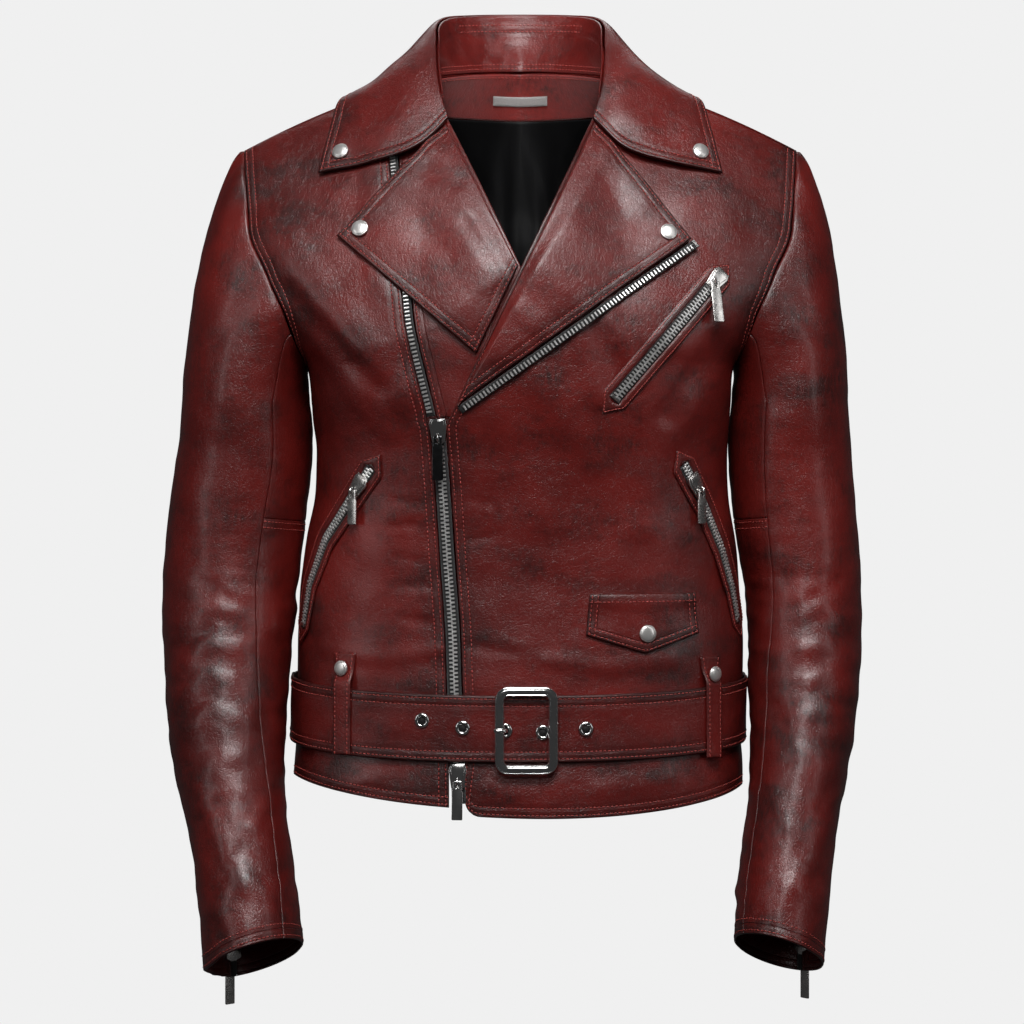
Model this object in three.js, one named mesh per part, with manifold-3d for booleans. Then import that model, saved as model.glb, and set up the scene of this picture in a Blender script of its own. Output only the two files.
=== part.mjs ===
// A men's asymmetric leather riding jacket, filled out as if worn, with no wearer inside.
// Millimetres, +Z up. The jacket faces -Y and its wearer's right side is at -X.
// The origin is at the middle of the neck, where the shoulders carry the jacket.

import * as THREE from "three";
import { mergeVertices } from "three/addons/utils/BufferGeometryUtils.js";
import Module from "manifold-3d";

const { Vector3, Shape, Path } = THREE;
const wasm = await Module();
wasm.setup();

// ---- Driving dimensions -------------------------------------------------------------------

const LEATHER = 1.5; // wall of a single hide
const SEAM = 0.3; // gap between two sewn pieces
const SEAM_Y = 4; // the shoulder and side seams lie this far behind the origin

// The shoulder seam falls from the neck to the sleeve head, a little bowed up between them.
const NECK_X = 80;
const NECK_Z = 18;
const SHOULDER_X = 228;
const SHOULDER_BOW = 5;
const FRONT_TOP_DROP = 0.6; // the front ends this far below the line of the shoulder seam
const BACK_NECK_Z = 30;
const NECK_RISE = { front: 20, back: 50 };

// Cross-sections of the body: [height, half width, front depth, back depth, centre].
const BODY = [
  [60, 262, 112, 104, 0],
  [-110, 262, 113, 106, 0],
  [-150, 240, 115, 110, 0],
  [-182, 210, 117, 112, 0],
  [-205, 189, 118, 112, 0],
  [-222, 177, 118, 111, 0],
  [-250, 174, 117, 108, 0.5],
  [-290, 171, 113, 104, 1],
  [-330, 172, 110, 100, 1],
  [-363, 178, 108, 98, 0.5],
  [-400, 182, 108, 97, 0],
  [-448, 185, 110, 99, 0],
  [-480, 185, 112, 101, -1],
  [-535, 185, 114, 104, -2],
  [-560, 189, 117, 108, -3],
  [-592, 191, 119, 110, -3],
];
const SQUARENESS = { chest: 3, waist: 2.5, chestZ: -222, waistZ: -300 };
const CHEST_DROP = { front: 215, back: 190 }; // from the shoulder seam to the full depth
const CHEST_ROUND = { front: 1.3, back: 1.6 };

// The armhole is an egg that starts at the shoulder tip and ends under the arm.
const ARMHOLE = { top: -42, height: 180, turn: 54.3, dip: 3 };
const SHOULDER_FALL = (NECK_Z - ARMHOLE.top) / (SHOULDER_X - NECK_X);
const UNDERARM_Z = ARMHOLE.top - ARMHOLE.height;
const LOWER_ROWS = [-250, -285, -325, -365, -405, -445, -485, -525];
const HEM_Z = { right: -555, left: -564.5 }; // at the side seams
const HEM_DIP = { right: 18, left: 24, back: 12 }; // in the middle of the fronts and the back

// Sleeves, from the full round below the armhole to the cuff:
// [height, distance out, distance back, half width, half depth, front seam, back seam].
const SLEEVES = {
  right: [
    [-250, 229, 6, 53, 66, 120, 236],
    [-290, 229.5, 8, 56, 65, 119, 238],
    [-345, 236.5, 8, 57, 64.5, 118, 240],
    [-400, 241.5, 5, 56, 64, 117, 246],
    [-440, 243, -4, 54.5, 63, 120, 252],
    [-480, 242.8, -16, 51.3, 61, 124, 260],
    [-520, 241.3, -31, 48.3, 58.5, 129, 268],
    [-560, 237, -47, 44, 56, 134, 277],
    [-600, 229, -64, 40, 54, 138, 286],
    [-650, 220, -84, 40, 53, 135, 294],
    [-704, 213, -105, 40.5, 52, 133, 300],
  ],
  left: [
    [-250, 224.5, 6, 48.5, 66, 120, 236],
    [-290, 224.8, 8, 51.2, 65, 120, 238],
    [-345, 229, 8, 51.3, 64.5, 122, 240],
    [-400, 235.2, 5, 48.8, 64, 126, 246],
    [-440, 236, -4, 46.8, 63, 130, 253],
    [-480, 234.5, -16, 45.5, 61, 135, 261],
    [-520, 232.3, -31, 43.2, 58.5, 140, 270],
    [-560, 226.3, -47, 39, 56, 143, 280],
    [-600, 219.5, -64, 37.2, 54, 146, 290],
    [-650, 211.5, -84, 37.2, 53, 147, 299],
    [-704, 205, -105, 36.8, 52, 147, 306],
  ],
};
// The cuffs are cut at a slant: they rise this much from the outer to the inner side.
const CUFF_RISE = { right: [0, 14], left: [5, 18] };
const CAP_STEPS = [0, 0.1, 0.24, 0.42, 0.62, 0.82];
const CAP_PULL = 0.6; // how strongly the sleeve head keeps its first direction
const CROSS_SEAM_Z = -345; // the under sleeve is cut in two here
const CUFF_ZIP_TOP = -600;
const ARMHOLE_GAP = 0.5;

// Lines of the front, as [x, z] seen from the front.
const RIGHT_ZIP_LINE = [[-107, 20], [-104, -50], [-92, -161], [-88, -194], [-71.5, -262]];
const CLOSED_ZIP_LINE = [[-66, -275], [-62.7, -316], [-58.7, -378], [-54.7, -433], [-53, -482],
  [-50, -545], [-49, -590]];
const RIGHT_ROLL = { top: [-59, -21], foot: [0, -143] };
const LEFT_ROLL = { top: [58, -21], foot: [-56, -263] };
const LEFT_ZIP_LINE = [[139.5, -126], [45, -192.2], [-48, -257.5]];
// Each lapel's roll and outer edge, from the top of the lapel to its foot.
const RIGHT_LAPEL = {
  roll: [[-61, -25], [-2, -143]],
  outer: [[-148, -118], [-35.5, -213]],
};
const LEFT_LAPEL = {
  roll: [[60, -25], [-50, -255]],
  outer: [[137, -121.5], [-48.5, -252]],
};
const LAPEL_WALL = 1.8;
const ZIP_HALF = 3.4; // half of the tape and teeth that show beside an open edge
const CLOSED_ZIP_HALF = 6;
const POCKET_ZIP_HALF = 4.4;
const ZIP_GAP = 0.4; // between a zip and the hide beside it
const ZIP_WALL = 2;
const ZIP_MEETS = -266; // the two halves of the main zip join here
const RIGHT_ZIP_TOP = 4;
const CLOSED_ZIP_FOOT = -572;
const UNDERLAP = {
  rows: 12,
  top: 15,
  foot: -264,
  lift: -0.8,
  edge: [[-79, 17], [-59, -21], [0, -143], [12, -170], [4, -205], [-24, -240], [-58, -266]],
};

const OVERLAP_LIFT = 4.5; // the left front stands this far out where it laps the right one
const LAPEL_LIFT = 6.5;

// The collar, drawn for the wearer's right and mirrored: the roll, the outer edge, the front edge
// and the neck seam.
const COLLAR_ROLL = [[-59, -44, -18], [-66, -30, 5], [-69, -12, 28], [-70, 8, 50], [-70, 28, 66],
  [-63, 50, 75], [-42, 68, 79], [0, 80, 81]];
const COLLAR_EDGE = [[-166, -42, -63], [-159, -24, -30], [-150, 4, 1.5], [-137, 29, -4],
  [-110, 55, -22], [-62, 72, -15], [0, 96, -5]];
const COLLAR_FRONT = [[-59, -44, -18], [-84, -55, -42], [-122, -52, -55], [-166, -42, -63]];
const COLLAR_BULGE = 10;
const COLLAR_WALL = 2;
const NECK_AXIS_Y = 15; // middle of the neck opening
const NECK_FRONT_SHARE = 0.4; // share of the half neck seam that is in front of the shoulder
const STAND_START = 0.07;
const STAND_INSET = 3;

// Pieces inside the back, as patches `depth` inside its outer face.
const FACING = { half: 74, columns: 12, rows: 3, foot: -9, depth: 4.4, wall: 1.2 };
const LINING = { half: 118, columns: 12, rows: 6, foot: -235, depth: 4.6, wall: 1 };
const LABEL = { half: 25, columns: 4, rows: 1, foot: 3.5, height: 8, depth: 6, wall: 0.8 };

const BELT = { frontTop: -486, sideTop: -478, width: 53.5, under: 2.4, thick: 2.4, columns: 56 };
const BUCKLE = { x: 4.5, z: -513.5, width: 51, height: 70, bar: 8.5, thick: 4.4, stand: 1.8 };
const PRONG = { reach: 9.5, foot: -1, wall: 1.8, width: 3.6 };
const EYELETS = [[-78, -506], [-46, -511.6], [17.5, -515], [51.5, -512.4]]; // [x, z]
const EYELET = { outer: 6, inner: 3.2, height: 1.4 };
const LOOPS = {
  belt_loop_right: { x: -141, top: -454, foot: -536, face: "front" },
  belt_loop_left: { x: 152.5, top: -458, foot: -540, face: "front" },
  belt_loop_back: { x: 0, top: -458, foot: -540, face: "back" },
};
const LOOP = { width: 17, wall: 1.6, sewn: 2.4 };
const SNAP = { radius: 7, height: 3.2 };
// Where the snaps on the front sit: [x, z, height above the body].
const SNAPS = {
  snap_lapel_right: [-128.5, -114, 6.2],
  snap_lapel_left: [118, -117, 6],
  snap_flap: [101, -437.5, 2.4],
  snap_loop_right: [-142, -466.5, 4.6],
  snap_loop_left: [152.5, -471.5, 6.9],
};
const COLLAR_SNAP = { v: 0.03, k: 0.86 };

// Pocket openings: the line of each zip, as [x, z], from the slider to the foot.
const CHEST_POCKET = [[160, -150], [118, -199], [74, -250]];
const HAND_POCKETS = {
  right: [[-120, -305], [-140, -336], [-158, -364], [-171, -400], [-177, -436]],
  left: [[131, -302], [149, -338], [163, -372], [172, -404], [177, -432]],
};
const WELT = { slot: 4.9, half: 11.5, tip: 14, lift: 2.2, wall: 1.1 };
const COIN_FLAP = {
  left: 55, right: 140, top: -405.5, side: -438.5, point: [100, -453.5], flare: 3, lift: 2.4, wall: 1.4,
};

// Where the hinges of the pull tabs sit: [x, z] on the main zip, share of the line on the others.
const SLIDERS = { main: [-65.3, -279], foot: [-50, -555], chest: 0.07, right: 0.15, left: 0.17 };
const CUFF_SLIDER_V = 0.018;
const HINGE_HEIGHT = 1.2; // of a pull's hinge line above its slider
const PULL = { width: 8.6, thick: 1.4, window: 1.5, bar: 0.8, slot: 5 };
const BAIL = { inner: 1.9, outer: 3.3, half: 0.9 };
const SLIDER = { height: 19, top: 14.5, foot: 10.5, thick: 3.2, above: 5 };

// ---- Colours ------------------------------------------------------------------------------

const HIDE = { color: 0x5a1518, roughness: 0.42, metalness: 0 };
const SATIN = { color: 0x0c0c0d, roughness: 0.35, metalness: 0 };
const TAPE = { color: 0x0a0a0a, roughness: 0.7, metalness: 0.3 };
const STEEL = { color: 0xb8b8b8, roughness: 0.2, metalness: 1 };
const LABEL_CLOTH = { color: 0xa6a19c, roughness: 0.6, metalness: 0 };

// ---- Small mathematics --------------------------------------------------------------------

const radians = (degrees) => (degrees * Math.PI) / 180;
const mix = (a, b, t) => a + (b - a) * t;
const clamp = (x, low, high) => Math.min(high, Math.max(low, x));
const step = (x, from, to) => {
  const t = clamp((x - from) / (to - from), 0, 1);
  return t * t * (3 - 2 * t);
};
const spread = (count) => Array.from({ length: count + 1 }, (_, i) => i / count);

// Reads column `column` of a table at `key` by a smooth cubic through its rows.
function read(table, key, column) {
  const rising = table[1][0] > table[0][0];
  let i = 0;
  while (i < table.length - 2 && (rising ? key > table[i + 1][0] : key < table[i + 1][0])) i += 1;
  const row = (k) => table[clamp(k, 0, table.length - 1)];
  const slope = (k) => {
    const span = row(k + 1)[0] - row(k - 1)[0];
    return (row(k + 1)[column] - row(k - 1)[column]) / span;
  };
  const width = row(i + 1)[0] - row(i)[0];
  const t = clamp((key - row(i)[0]) / width, 0, 1);
  const a = row(i)[column];
  const b = row(i + 1)[column];
  const ta = slope(i) * width;
  const tb = slope(i + 1) * width;
  return (
    a * (2 * t ** 3 - 3 * t ** 2 + 1) +
    ta * (t ** 3 - 2 * t ** 2 + t) +
    b * (3 * t ** 2 - 2 * t ** 3) +
    tb * (t ** 3 - t ** 2)
  );
}

// The x of a front line at a height, from its [x, z] points, highest first.
function lineX(points, z) {
  return read(points.map(([x, height]) => [height, x]), z, 1);
}

// A point at share t of a polyline of [x, z] points.
function along(points, t) {
  const curve = new THREE.CatmullRomCurve3(points.map(([x, z]) => new Vector3(x, 0, z)));
  const p = curve.getPointAt(t);
  return [p.x, p.z];
}

// ---- The body's surface -------------------------------------------------------------------

function squareness(z) {
  const t = step(z, SQUARENESS.chestZ, SQUARENESS.waistZ);
  return mix(SQUARENESS.chest, SQUARENESS.waist, t);
}

// Height of the shoulder line over x. It turns up inside the neck, where there is no cloth.
function ridge(x, face) {
  const inside = Math.max(0, NECK_X - Math.abs(x));
  const rise = (NECK_RISE[face] * (1 - Math.cos((Math.PI * inside) / NECK_X))) / 2;
  const share = Math.max(0, Math.abs(x) - NECK_X) / (SHOULDER_X - NECK_X);
  const bow = SHOULDER_BOW * 4 * share * (1 - share);
  return NECK_Z + SHOULDER_FALL * (NECK_X - Math.abs(x)) + rise + bow;
}

// How much of its full depth the body has at x and z: 0 at the shoulder seam, 1 at the chest.
function chestShare(x, z, face) {
  const fall = clamp((ridge(x, face) - z) / CHEST_DROP[face], 0, 1);
  return (1 - (1 - fall) ** CHEST_ROUND[face]) ** (1 / CHEST_ROUND[face]);
}

const halfWidth = (z) => read(BODY, z, 1);
const centre = (z) => read(BODY, z, 4);

// The turn, in radians from straight ahead, of the body point at x and z.
function turnAt(x, z) {
  const share = clamp(Math.abs(x - centre(z)) / halfWidth(z), 0, 1);
  return Math.asin(share ** (squareness(z) / 2)) * Math.sign(x - centre(z));
}

function bodyX(turn, z) {
  const share = Math.abs(Math.sin(turn)) ** (2 / squareness(z));
  return centre(z) + halfWidth(z) * share * Math.sign(turn);
}

function bodyPoint(turn, z, face) {
  const x = bodyX(turn, z);
  const depth = read(BODY, z, face === "front" ? 2 : 3) * chestShare(x, z, face);
  const y = (depth * Math.abs(Math.cos(turn)) ** (2 / squareness(z)) + SEAM / 2);
  return new Vector3(x, face === "front" ? SEAM_Y - y : SEAM_Y + y, z);
}

// Outward direction at a body point.
function bodyNormal(turn, z, face) {
  const x = bodyX(turn, z);
  if (ridge(x, face) - z < 0.5) {
    return new Vector3(SHOULDER_FALL * Math.sign(x), 0, 1).normalize();
  }
  const small = 0.004;
  const limit = Math.PI / 2;
  const a = bodyPoint(clamp(turn - small, -limit, limit), z, face);
  const b = bodyPoint(clamp(turn + small, -limit, limit), z, face);
  const across = b.sub(a);
  const top = Math.min(z + 1, ridge(x, face) - 0.2);
  const up = bodyPoint(turn, top, face).sub(bodyPoint(turn, z - 1, face));
  const normal = across.cross(up).normalize();
  const outward = face === "front" ? -1 : 1;
  if (Math.abs(turn) > radians(89)) {
    return new Vector3(Math.sign(turn), 0, 0);
  }
  return normal.y * outward < 0 ? normal.negate() : normal;
}

// A place on the body: its point, its outward direction and the point moved out by `lift`.
function place(x, z, face = "front") {
  const turn = turnAt(x, z);
  const point = bodyPoint(turn, z, face);
  const normal = bodyNormal(turn, z, face);
  return { point, normal, at: (lift) => point.clone().addScaledVector(normal, lift) };
}

// ---- The armhole --------------------------------------------------------------------------

function armholeZ(angle) {
  return ARMHOLE.top - (ARMHOLE.height * (1 - Math.cos(angle))) / 2;
}

function armholeTurn(angle) {
  const below = angle < Math.PI / 2 ? 0 : 1 - Math.sin(angle) ** 1.5;
  const dip = ARMHOLE.dip * Math.sin(angle) ** 2;
  return radians(ARMHOLE.turn - dip + (90 - ARMHOLE.turn) * below);
}

// ---- Solids from grids of points ----------------------------------------------------------

// A closed wall between two equal grids of points, outer[row][column] and inner[row][column].
function wall(outer, inner, { closed = false } = {}) {
  const rows = outer.length;
  const columns = outer[0].length;
  const points = [...outer.flat(), ...inner.flat()];
  const at = (layer, i, j) => layer * rows * columns + i * columns + (j % columns);
  const faces = [];
  const quad = (a, b, c, d) => faces.push([a, b, c], [a, c, d]);
  const last = closed ? columns : columns - 1;
  for (let i = 0; i < rows - 1; i += 1) {
    for (let j = 0; j < last; j += 1) {
      quad(at(0, i, j), at(0, i + 1, j), at(0, i + 1, j + 1), at(0, i, j + 1));
      quad(at(1, i, j), at(1, i, j + 1), at(1, i + 1, j + 1), at(1, i + 1, j));
    }
  }
  for (let j = 0; j < last; j += 1) {
    quad(at(0, 0, j), at(0, 0, j + 1), at(1, 0, j + 1), at(1, 0, j));
    const end = rows - 1;
    quad(at(0, end, j), at(1, end, j), at(1, end, j + 1), at(0, end, j + 1));
  }
  if (!closed) {
    for (let i = 0; i < rows - 1; i += 1) {
      quad(at(0, i, 0), at(1, i, 0), at(1, i + 1, 0), at(0, i + 1, 0));
      const end = columns - 1;
      quad(at(0, i, end), at(0, i + 1, end), at(1, i + 1, end), at(1, i, end));
    }
  }
  return solid(points, faces);
}

// A geometry from points and triangles, with its faces turned out.
function solid(points, faces) {
  let volume = 0;
  for (const [a, b, c] of faces) {
    volume += points[a].dot(points[b].clone().cross(points[c]));
  }
  const turned = volume < 0 ? faces.map(([a, b, c]) => [a, c, b]) : faces;
  const geometry = new THREE.BufferGeometry();
  const numbers = points.flatMap((p) => [p.x, p.y, p.z]);
  geometry.setAttribute("position", new THREE.Float32BufferAttribute(numbers, 3));
  geometry.setIndex(turned.flat());
  return geometry;
}

// A wall whose middle grid is given with normals: each cell is { point, normal, lift }.
function shell(cells, thickness, options) {
  const layer = (depth) =>
    cells.map((row) =>
      row.map(({ point, normal, lift = 0 }) => point.clone().addScaledVector(normal, lift - depth)),
    );
  return wall(layer(0), layer(thickness), options);
}

// Outward directions of a free grid of points, found from each point's neighbours.
function gridNormals(grid, closed = false) {
  const rows = grid.length;
  const columns = grid[0].length;
  return grid.map((row, i) =>
    row.map((_, j) => {
      const left = closed ? (j + columns - 1) % columns : Math.max(0, j - 1);
      const right = closed ? (j + 1) % columns : Math.min(columns - 1, j + 1);
      const across = grid[i][right].clone().sub(grid[i][left]);
      const down = grid[Math.min(rows - 1, i + 1)][j].clone().sub(grid[Math.max(0, i - 1)][j]);
      return across.cross(down).normalize();
    }),
  );
}

const parts = new THREE.Group();

function add(name, geometry, finish) {
  const mesh = new THREE.Mesh(geometry, new THREE.MeshStandardMaterial(finish));
  mesh.name = name;
  parts.add(mesh);
  return mesh;
}

// ---- Body panels --------------------------------------------------------------------------

const ARM_ROWS = spread(12).map((t) => t * Math.PI);

const HEM_ROW = (HEM_Z.right + HEM_Z.left) / 2;

// The rows of a panel: height and turn of the outer end, and the share of the armhole passed.
const BODY_ROWS = [
  ...ARM_ROWS.map((angle) => ({
    z: armholeZ(angle),
    turn: armholeTurn(angle),
    fall: (ARMHOLE.top - armholeZ(angle)) / ARMHOLE.height,
  })),
  ...[...LOWER_ROWS, HEM_ROW].map((z) => ({ z, turn: Math.PI / 2, fall: 1 })),
];

// Share of a row from one x to another, with even steps round the body.
const lean = (x, z) => Math.asin(clamp((x - centre(z)) / halfWidth(z), -1, 1));
const between = (from, to, z, share) =>
  centre(z) + halfWidth(z) * Math.sin(mix(lean(from, z), lean(to, z), share));

// Height of the hem, which dips in front and behind.
function hemZ(x, face) {
  const share = (x / BODY[BODY.length - 1][1] + 1) / 2;
  const front = x < lineX(CLOSED_ZIP_LINE, HEM_ROW) ? "right" : "left";
  const dip = HEM_DIP[face === "back" ? "back" : front];
  return mix(HEM_Z.right, HEM_Z.left, share) - dip * Math.cos(lean(x, HEM_ROW)) ** 1.5;
}

function sideEnd(side, z, face) {
  return { point: bodyPoint((side * Math.PI) / 2, z, face), normal: new Vector3(side, 0, 0) };
}

const isHem = (index) => index === BODY_ROWS.length - 1;
const isLow = ({ fall, z }) => fall >= 1 && z < UNDERARM_Z - 1;

// Front panel on one side, from edge(z) to the armhole and the side seam.
function frontPanel(side, edge, columns, lift) {
  const [tip] = BODY_ROWS;
  const topX = edge(NECK_Z);
  const topZ = ridge(topX, "front");
  const tipX = bodyX(side * tip.turn, tip.z);
  // How far the top edge bows above a straight line, at a share of its length.
  const bow = (share) => {
    const seamZ = ridge(mix(topX, tipX, share), "front");
    return Math.max(0, seamZ - FRONT_TOP_DROP - mix(topZ, tip.z, share));
  };
  return BODY_ROWS.map((row, index) => {
    const inZ = mix(topZ, row.z, row.fall);
    const inX = edge(inZ);
    const outX = bodyX(side * row.turn, row.z);
    return spread(columns).map((s) => {
      const x = between(inX, outX, row.z, s);
      const share = (x - inX) / (outX - inX);
      const rowZ = mix(inZ, row.z, share) + bow(share) * (1 - row.fall) ** 3;
      const z = isHem(index) ? hemZ(x, "front") : rowZ;
      const spot = s === 1 && isLow(row) ? sideEnd(side, z, "front") : place(x, z);
      return { ...spot, lift: lift(x, z) };
    });
  });
}

// The left front laps the right one, so it stands out there.
function overlapLift(x, z) {
  return OVERLAP_LIFT * (1 - step(x, 10, 95)) * step(z, -300, -235);
}

const closedEdge = (z, side) => lineX(CLOSED_ZIP_LINE, z) + side * (CLOSED_ZIP_HALF + ZIP_GAP);

// Inner edge of the right front: the open zip above, the closed zip below.
function rightEdge(z) {
  const open = lineX(RIGHT_ZIP_LINE, z) - ZIP_HALF - ZIP_GAP;
  return mix(closedEdge(z, -1), open, step(z, ZIP_MEETS - 8, ZIP_MEETS));
}

function rollX({ top, foot }, z) {
  return mix(top[0], foot[0], (top[1] - z) / (top[1] - foot[1]));
}

// Inner edge of the left front: neck seam, roll line, then the closed zip.
function leftEdge(z) {
  const neck = mix(NECK_X, LEFT_ROLL.top[0], (NECK_Z - z) / (NECK_Z - LEFT_ROLL.top[1]));
  const open = z > LEFT_ROLL.top[1] ? neck : rollX(LEFT_ROLL, z);
  return mix(closedEdge(z, 1), open, step(z, ZIP_MEETS - 8, ZIP_MEETS + 4));
}

// The part of the right front beyond its zip, which the left front covers.
function underlap() {
  return spread(UNDERLAP.rows).map((t) => {
    const z = mix(UNDERLAP.top, UNDERLAP.foot, t);
    const left = lineX(RIGHT_ZIP_LINE, z) + ZIP_HALF + ZIP_GAP;
    const right = Math.max(lineX(UNDERLAP.edge, z), left + 3);
    return spread(5).map((s) => ({ ...place(mix(left, right, s), z), lift: UNDERLAP.lift }));
  });
}

function backPanel(columns) {
  return BODY_ROWS.map((row, index) => {
    const outX = bodyX(row.turn, row.z);
    return spread(columns).map((s) => {
      const x = between(bodyX(-row.turn, row.z), outX, row.z, s);
      const lowZ = isHem(index) ? hemZ(x, "back") : row.z;
      if (isLow(row)) return s % 1 ? place(x, lowZ, "back") : sideEnd(2 * s - 1, lowZ, "back");
      const reach = Math.abs(x / outX) * SHOULDER_X;
      return place(x, mix(backTop(reach), UNDERARM_Z, row.fall), "back");
    });
  });
}

// Top edge of the back: the neckline, then the shoulder seam.
function backTop(x) {
  const neckline = BACK_NECK_Z - (BACK_NECK_Z - NECK_Z) * (x / NECK_X) ** 2;
  return Math.abs(x) < NECK_X ? neckline : ridge(x, "back");
}

add("back_panel", shell(backPanel(18), LEATHER), HIDE);
add("front_right", shell(frontPanel(-1, rightEdge, 6, () => 0), LEATHER), HIDE);
add("underlap_right", shell(underlap(), LEATHER), HIDE);
add("front_left", shell(frontPanel(1, leftEdge, 8, overlapLift), LEATHER), HIDE);

// ---- Inside of the back: facing, lining and label --------------------------------------------

// A patch of the back between two heights, `depth` inside the outer face.
function insidePatch({ half, columns, rows, top, foot, depth }) {
  return spread(rows).map((t) =>
    spread(columns).map((u) => {
      const x = mix(-half, half, u);
      return { ...place(x, mix(top(x), foot, t), "back"), lift: -depth };
    }),
  );
}

add("back_neck_facing", shell(insidePatch({
  ...FACING, top: (x) => backTop(x) - SEAM,
}), FACING.wall), HIDE);
add("lining_back", shell(insidePatch({
  ...LINING, top: () => FACING.foot - SEAM,
}), LINING.wall), SATIN);
add("label", shell(insidePatch({
  ...LABEL, top: () => LABEL.foot + LABEL.height,
}), LABEL.wall), LABEL_CLOTH);

// ---- Lapels ---------------------------------------------------------------------------------

// A lapel between its roll and its outer edge, both given as two [x, z] ends.
function lapel(roll, outer, lift) {
  const across = [0, 0.06, 0.15, 0.3, 0.5, 0.75, 1];
  return spread(7).map((t) =>
    across.map((s) => {
      const [x, z] = [0, 1].map((k) =>
        mix(mix(roll[0][k], roll[1][k], t), mix(outer[0][k], outer[1][k], t), s),
      );
      return { ...place(x, z), lift: lift(s, t, x, z) };
    }),
  );
}

// A lapel lies close at its roll, stands off the chest and comes down again at its outer edge.
function lapelLift(s) {
  return mix(2.4, LAPEL_LIFT, step(s, 0, 0.2)) - 1.5 * step(s, 0.6, 1);
}

add("lapel_right", shell(lapel(RIGHT_LAPEL.roll, RIGHT_LAPEL.outer, lapelLift), LAPEL_WALL), HIDE);
const leftLapelLift = (s, t, x, z) =>
  overlapLift(x, z) + mix(lapelLift(s) + 0.3, 2.4, step(t, 0.75, 1));
add("lapel_left", shell(lapel(LEFT_LAPEL.roll, LEFT_LAPEL.outer, leftLapelLift), LAPEL_WALL), HIDE);

// ---- Collar ---------------------------------------------------------------------------------

// The half drawn for the wearer's right, carried round the back of the neck to the left.
function mirrored(points) {
  const right = points.map(([x, y, z]) => new Vector3(x, y, z));
  const left = right.slice(0, -1).map((p) => new Vector3(-p.x, p.y, p.z)).reverse();
  return new THREE.CatmullRomCurve3([...right, ...left]);
}

const roll = mirrored(COLLAR_ROLL);
const collarEdge = mirrored(COLLAR_EDGE);
const collarFront = new THREE.CatmullRomCurve3(COLLAR_FRONT.map((p) => new Vector3(...p)));

// The collar's face at v round the neck, from right front to left front, and k down from the roll.
function collarAt(v, k) {
  const top = roll.getPointAt(v);
  const low = collarEdge.getPointAt(v);
  const point = top.clone().lerp(low, k);
  const nearFront = 1 - step(Math.min(v, 1 - v), 0, 0.22);
  const straight = roll.getPoint(0).lerp(collarEdge.getPoint(0), k);
  const bend = collarFront.getPointAt(k).sub(straight).multiplyScalar(nearFront);
  if (v > 0.5) bend.x = -bend.x;
  const out = new Vector3(point.x, point.y - NECK_AXIS_Y, 0).normalize();
  out.z = 0.7;
  const bulge = COLLAR_BULGE * Math.sin(Math.PI * k ** 0.6);
  return point.add(bend).addScaledVector(out.normalize(), bulge * (1 - nearFront));
}

function collarNormal(v, k) {
  const small = 0.01;
  const across = collarAt(Math.min(1, v + small), k).sub(collarAt(Math.max(0, v - small), k));
  const down = collarAt(v, Math.min(1, k + small)).sub(collarAt(v, Math.max(0, k - small)));
  return down.cross(across).normalize();
}

const COLLAR_COLUMNS = spread(26);
const collarCells = COLLAR_COLUMNS.map((v) =>
  spread(4).map((k) => ({ point: collarAt(v, k), normal: collarNormal(v, k) })),
);
add("collar_fall", shell(collarCells, COLLAR_WALL), HIDE);

// The seam where the stand meets the body, at u from the front of the neck to its back.
function neckSeam(u) {
  const share = u / NECK_FRONT_SHARE;
  if (share < 1) {
    const x = mix(RIGHT_ROLL.top[0], -NECK_X, share);
    return place(x, mix(RIGHT_ROLL.top[1], NECK_Z, share)).point;
  }
  const x = -NECK_X * (1 - (u - NECK_FRONT_SHARE) / (1 - NECK_FRONT_SHARE));
  return place(x, backTop(x), "back").point;
}

function standCells() {
  const inward = (p) => new Vector3(-p.x, NECK_AXIS_Y - p.y, 0).normalize();
  return spread(24).map((t) => {
    const v = mix(STAND_START, 1 - STAND_START, t);
    const seam = neckSeam(2 * Math.min(v, 1 - v));
    if (v > 0.5) seam.x = -seam.x;
    const low = seam.clone().addScaledVector(inward(seam), 2.4).add(new Vector3(0, 0, 0.8));
    const high = roll.getPointAt(v);
    high.addScaledVector(inward(high), STAND_INSET).add(new Vector3(0, 0, -1));
    return spread(3).map((k) => low.clone().lerp(high, k));
  });
}

function outwardWall(points, thickness) {
  const normals = gridNormals(points);
  const cells = points.map((row, i) => row.map((point, j) => ({ point, normal: normals[i][j] })));
  return shell(cells, thickness);
}

add("collar_stand", outwardWall(standCells(), LEATHER), HIDE);

// ---- Sleeves --------------------------------------------------------------------------------

const sign = { right: -1, left: 1 };
const SLEEVE_TOP = -250;
const CUFF_Z = -704;
const sleeveV = (z) => 1 + (SLEEVE_TOP - z) / (SLEEVE_TOP - CUFF_Z);

// The round of a sleeve at a height: its centre, directions and half sizes.
function sleeveRound(name, z) {
  const table = SLEEVES[name];
  const middle = (h) => new Vector3(sign[name] * read(table, h, 1), read(table, h, 2), h);
  const down = middle(z - 3).sub(middle(z + 3)).normalize();
  const out = new Vector3(sign[name], 0, 0);
  out.addScaledVector(down, -out.dot(down)).normalize();
  const back = down.clone().cross(out);
  if (back.y < 0) back.negate();
  return { middle: middle(z), down, out, back, width: read(table, z, 3), depth: read(table, z, 4) };
}

function onRound({ middle, out, back, width, depth }, angle) {
  return middle
    .clone()
    .addScaledVector(out, width * Math.cos(angle))
    .addScaledVector(back, -depth * Math.sin(angle));
}

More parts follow.
